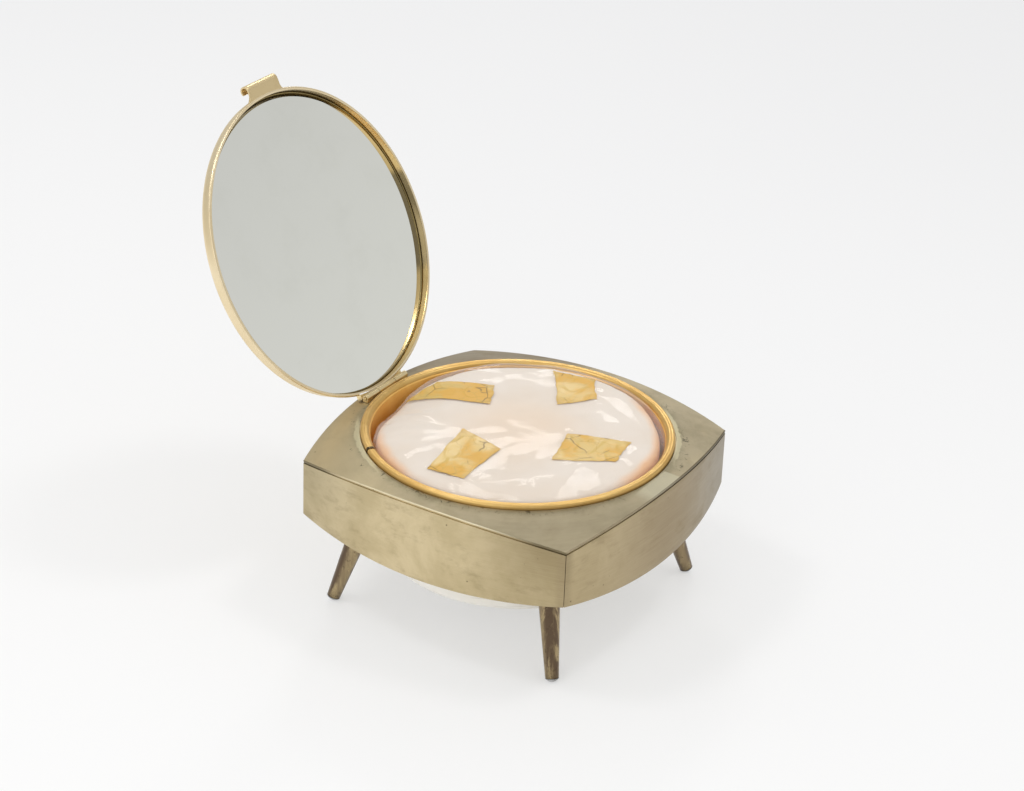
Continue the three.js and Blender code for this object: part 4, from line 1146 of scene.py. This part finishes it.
def makePuff():
    puff = spun("puffPad", padProfile(0, puffShape["low"]), 96)
    settle(puff)
    moved(puff, Matrix.Scale(puffShape["grow"], 4))
    apply(puff, "REMESH", mode="VOXEL", voxel_size=puffShape["voxel"])
    before = [vertex.co.copy() for vertex in puff.data.vertices]
    solve(puff, puffShape, before, 0, quality=5, use_pressure=True,
          uniform_pressure_force=puffShape["pressure"])
    moved(puff, Matrix.Scale(1 / puffShape["grow"], 4))
    for vertex in puff.data.vertices:
        lump = sum(noise.noise(vertex.co * scale) * high for scale, high in puffShape["lumps"])
        vertex.co += vertex.normal * (lump - puffShape["worn"]) * mm
    apply(puff, "SUBSURF", levels=1, render_levels=1)
    dress(puff, plush, "case", "puff", "puff", angle=60)
    return puff


def makeFilm(puff):
    grow, foot = puffShape["grow"], filmShape["foot"] * mm
    film = spun("puffWrap", padProfile(filmShape["clear"], 41.5), 96)
    settle(film)
    moved(film, Matrix.Scale(grow, 4))
    apply(film, "REMESH", mode="VOXEL", voxel_size=filmShape["voxel"])
    choose(film, lambda v: v.co.z < foot * grow)
    pick(film)
    editing(True)
    bpy.ops.mesh.delete(type="VERT")
    editing(False)
    form = copied(puff, "puffForm", Matrix.Scale(grow, 4))
    apply(form, "DECIMATE", ratio=0.3)
    form.modifiers.new("Collision", "COLLISION")
    form.collision.thickness_outer = 0.0012
    pinned = film.vertex_groups.new(name="pinned")
    low = [v.index for v in film.data.vertices if v.co.z < filmShape["pinned"] * mm * grow]
    pinned.add(low, 1.0, "REPLACE")
    before = [vertex.co.copy() for vertex in film.data.vertices]
    scale, height = filmShape["start"]
    for vertex in film.data.vertices:  # starts its creases off unevenly
        vertex.co.z += noise.noise(vertex.co * scale + Vector((3, 1, 7))) * height
    solve(film, filmShape, before, quality=6, mass=0.12, tension_stiffness=60,
          compression_stiffness=60, shear_stiffness=30, bending_stiffness=0.7,
          vertex_group_mass="pinned", shrink_min=filmShape["slack"])
    bpy.data.objects.remove(form)
    apply(film, "SMOOTH", factor=0.5, iterations=filmShape["eased"])
    moved(film, Matrix.Scale(1 / grow, 4))
    apply(film, "SUBSURF", levels=1, render_levels=1)
    facing(film, (0, 0, 1))
    dress(film, filmClear, "case", "puff_wrap", "puff_wrap", angle=60)
    return film


tapeShapes = {  # the corners round each strip as it lies, in millimetres
    "tape_left": ((-9.8, 12.1), (-13.4, -2.6), (-33.2, -3.5), (-34.4, 7.9)),
    "tape_front": ((5.6, -13.2), (12.5, -30.0), (-0.1, -32.4), (-10.1, -17.7)),
    "tape_back": ((12.0, 35.9), (18.6, 19.9), (7.1, 14.3), (-0.4, 38.6)),
    "tape_right": ((36.2, 10.8), (39.2, -1.6), (28.9, -8.5), (19.0, -1.3)),
}
tapeFilm = {
    "lift": 0.07,
    "ridge": 0.12,
    "sheet": 0.03,
    "across": 44,
    "along": 30,
    "ragged": 0.5,
    "lowest": 49.5,  # where there's no wrap below
}


def tapeEdge(u, v, seed):  # the cut strip's edges aren't straight
    ragged = tapeFilm["ragged"]
    along = noise.noise(Vector((v * 5, seed, 0.3))) * ragged
    along += noise.noise(Vector((v * 17, seed, 4.3))) * ragged * 0.5
    across = noise.noise(Vector((u * 4, seed, 8.1))) * ragged * 0.6
    return along * abs(2 * u - 1) ** 6, across * abs(2 * v - 1) ** 6


def makeTape(name, surface, seed):
    first, second, third, fourth = (Vector((*corner, 0)) for corner in tapeShapes[name])
    bpy.ops.mesh.primitive_grid_add(x_subdivisions=tapeFilm["across"], y_subdivisions=tapeFilm["along"],
                                    size=1)
    tape = fresh("tape" + name.split("_")[1].title())
    for vertex in tape.data.vertices:
        u, v = vertex.co.x + 0.5, vertex.co.y + 0.5
        place = first.lerp(second, u).lerp(fourth.lerp(third, u), v)
        along, across = tapeEdge(u, v, seed)
        place += (second - first).normalized() * along * (1 if u > 0.5 else -1)
        place += (fourth - first).normalized() * across * (1 if v > 0.5 else -1)
        hit = surface.ray_cast(Vector((place.x, place.y, 60)) * mm, Vector((0, 0, -1)))
        ridge = 1 - abs(noise.noise(Vector((place.x, place.y, seed)) * 0.21)) * 5
        lift = tapeFilm["lift"] + max(0, ridge) * tapeFilm["ridge"]
        height = hit[0].z if hit[0] else tapeFilm["lowest"] * mm
        vertex.co = Vector((place.x * mm, place.y * mm, height + lift * mm))
    facing(tape, (0, 0, 1))
    apply(tape, "SOLIDIFY", thickness=tapeFilm["sheet"] * mm, offset=-1)
    dress(tape, tapeAmber, "case", "tape", name, angle=60)


def filmPaint():  # clear film that catches the light on its creases
    paint = Paint("clearFilm")
    colour = paint.mixed(paint.clouds(70), (246, 240, 236), (250, 246, 240))
    clear = paint.node("BsdfTransparent", srgb(253, 251, 249))
    gloss = paint.maths("MINIMUM", paint.node("Fresnel", 1.5), 0.24)
    paint.blended(gloss * 1.3 + 0.03, clear, paint.plain())
    warp = paint.warped(60, 0.012)
    x, y = paint.axes()[:2]
    loose = 0.12 + paint.ramp((x * x + y * y) ** 0.5, 0.02, 0.038) * 0.7
    folds = paint.cells(44, at=warp) * loose + paint.cells(120, at=warp) * loose * 0.12
    return paint.finish(colour, 0.05, folds, 0.0032, 0.7)


def tapePaint():  # old clear tape, gone yellow and cracked
    paint = Paint("tapeAmber")
    stain = paint.ramp(paint.clouds(75, 4, 0.55, 0.4), 0.42, 0.6)
    warp = paint.warped(140, 0.004)
    crack = paint.ramp(paint.cells(105, at=warp), 0.007, 0.02, 1, 0)
    crack = crack * paint.ramp(paint.clouds(90, 2), 0.47, 0.54)
    fine = paint.ramp(paint.cells(230, at=warp), 0.01, 0.045, 1, 0)
    fine = fine * paint.ramp(paint.clouds(120, 2), 0.42, 0.56)
    u, v = paint.axes(paint.node("UVMap"))[:2]
    border = paint.ramp(u * (1 - u) * v * (1 - v), 0.0, 0.011, 1, 0)
    colour = paint.mixed(stain, (236, 204, 118), (226, 176, 70))
    colour = paint.coats(colour, [
        (fine * 0.5, (206, 168, 70)),
        (border * 0.55, (206, 164, 62)),
        (crack * 0.85, (122, 92, 34)),
    ])
    paint.feed("Alpha", 0.62 + stain * 0.22 + crack * 0.2)
    uneven = crack * -1.0 + paint.clouds(140, 3)
    return paint.finish(colour, 0.3 + stain * 0.16, uneven, 0.00012, 0.3)


plush = plushPaint()
filmClear = filmPaint()
tapeAmber = tapePaint()
puff = makePuff()
print("puff made")
film = makeFilm(puff)
wrap = film.data
surface = BVHTree.FromPolygons([v.co for v in wrap.vertices], [f.vertices for f in wrap.polygons])
for number, tapeName in enumerate(tapeShapes):
    makeTape(tapeName, surface, number * 3.7 + 1.2)
print("wrap and tapes made")


bpy.context.scene.view_settings.view_transform = "Standard"
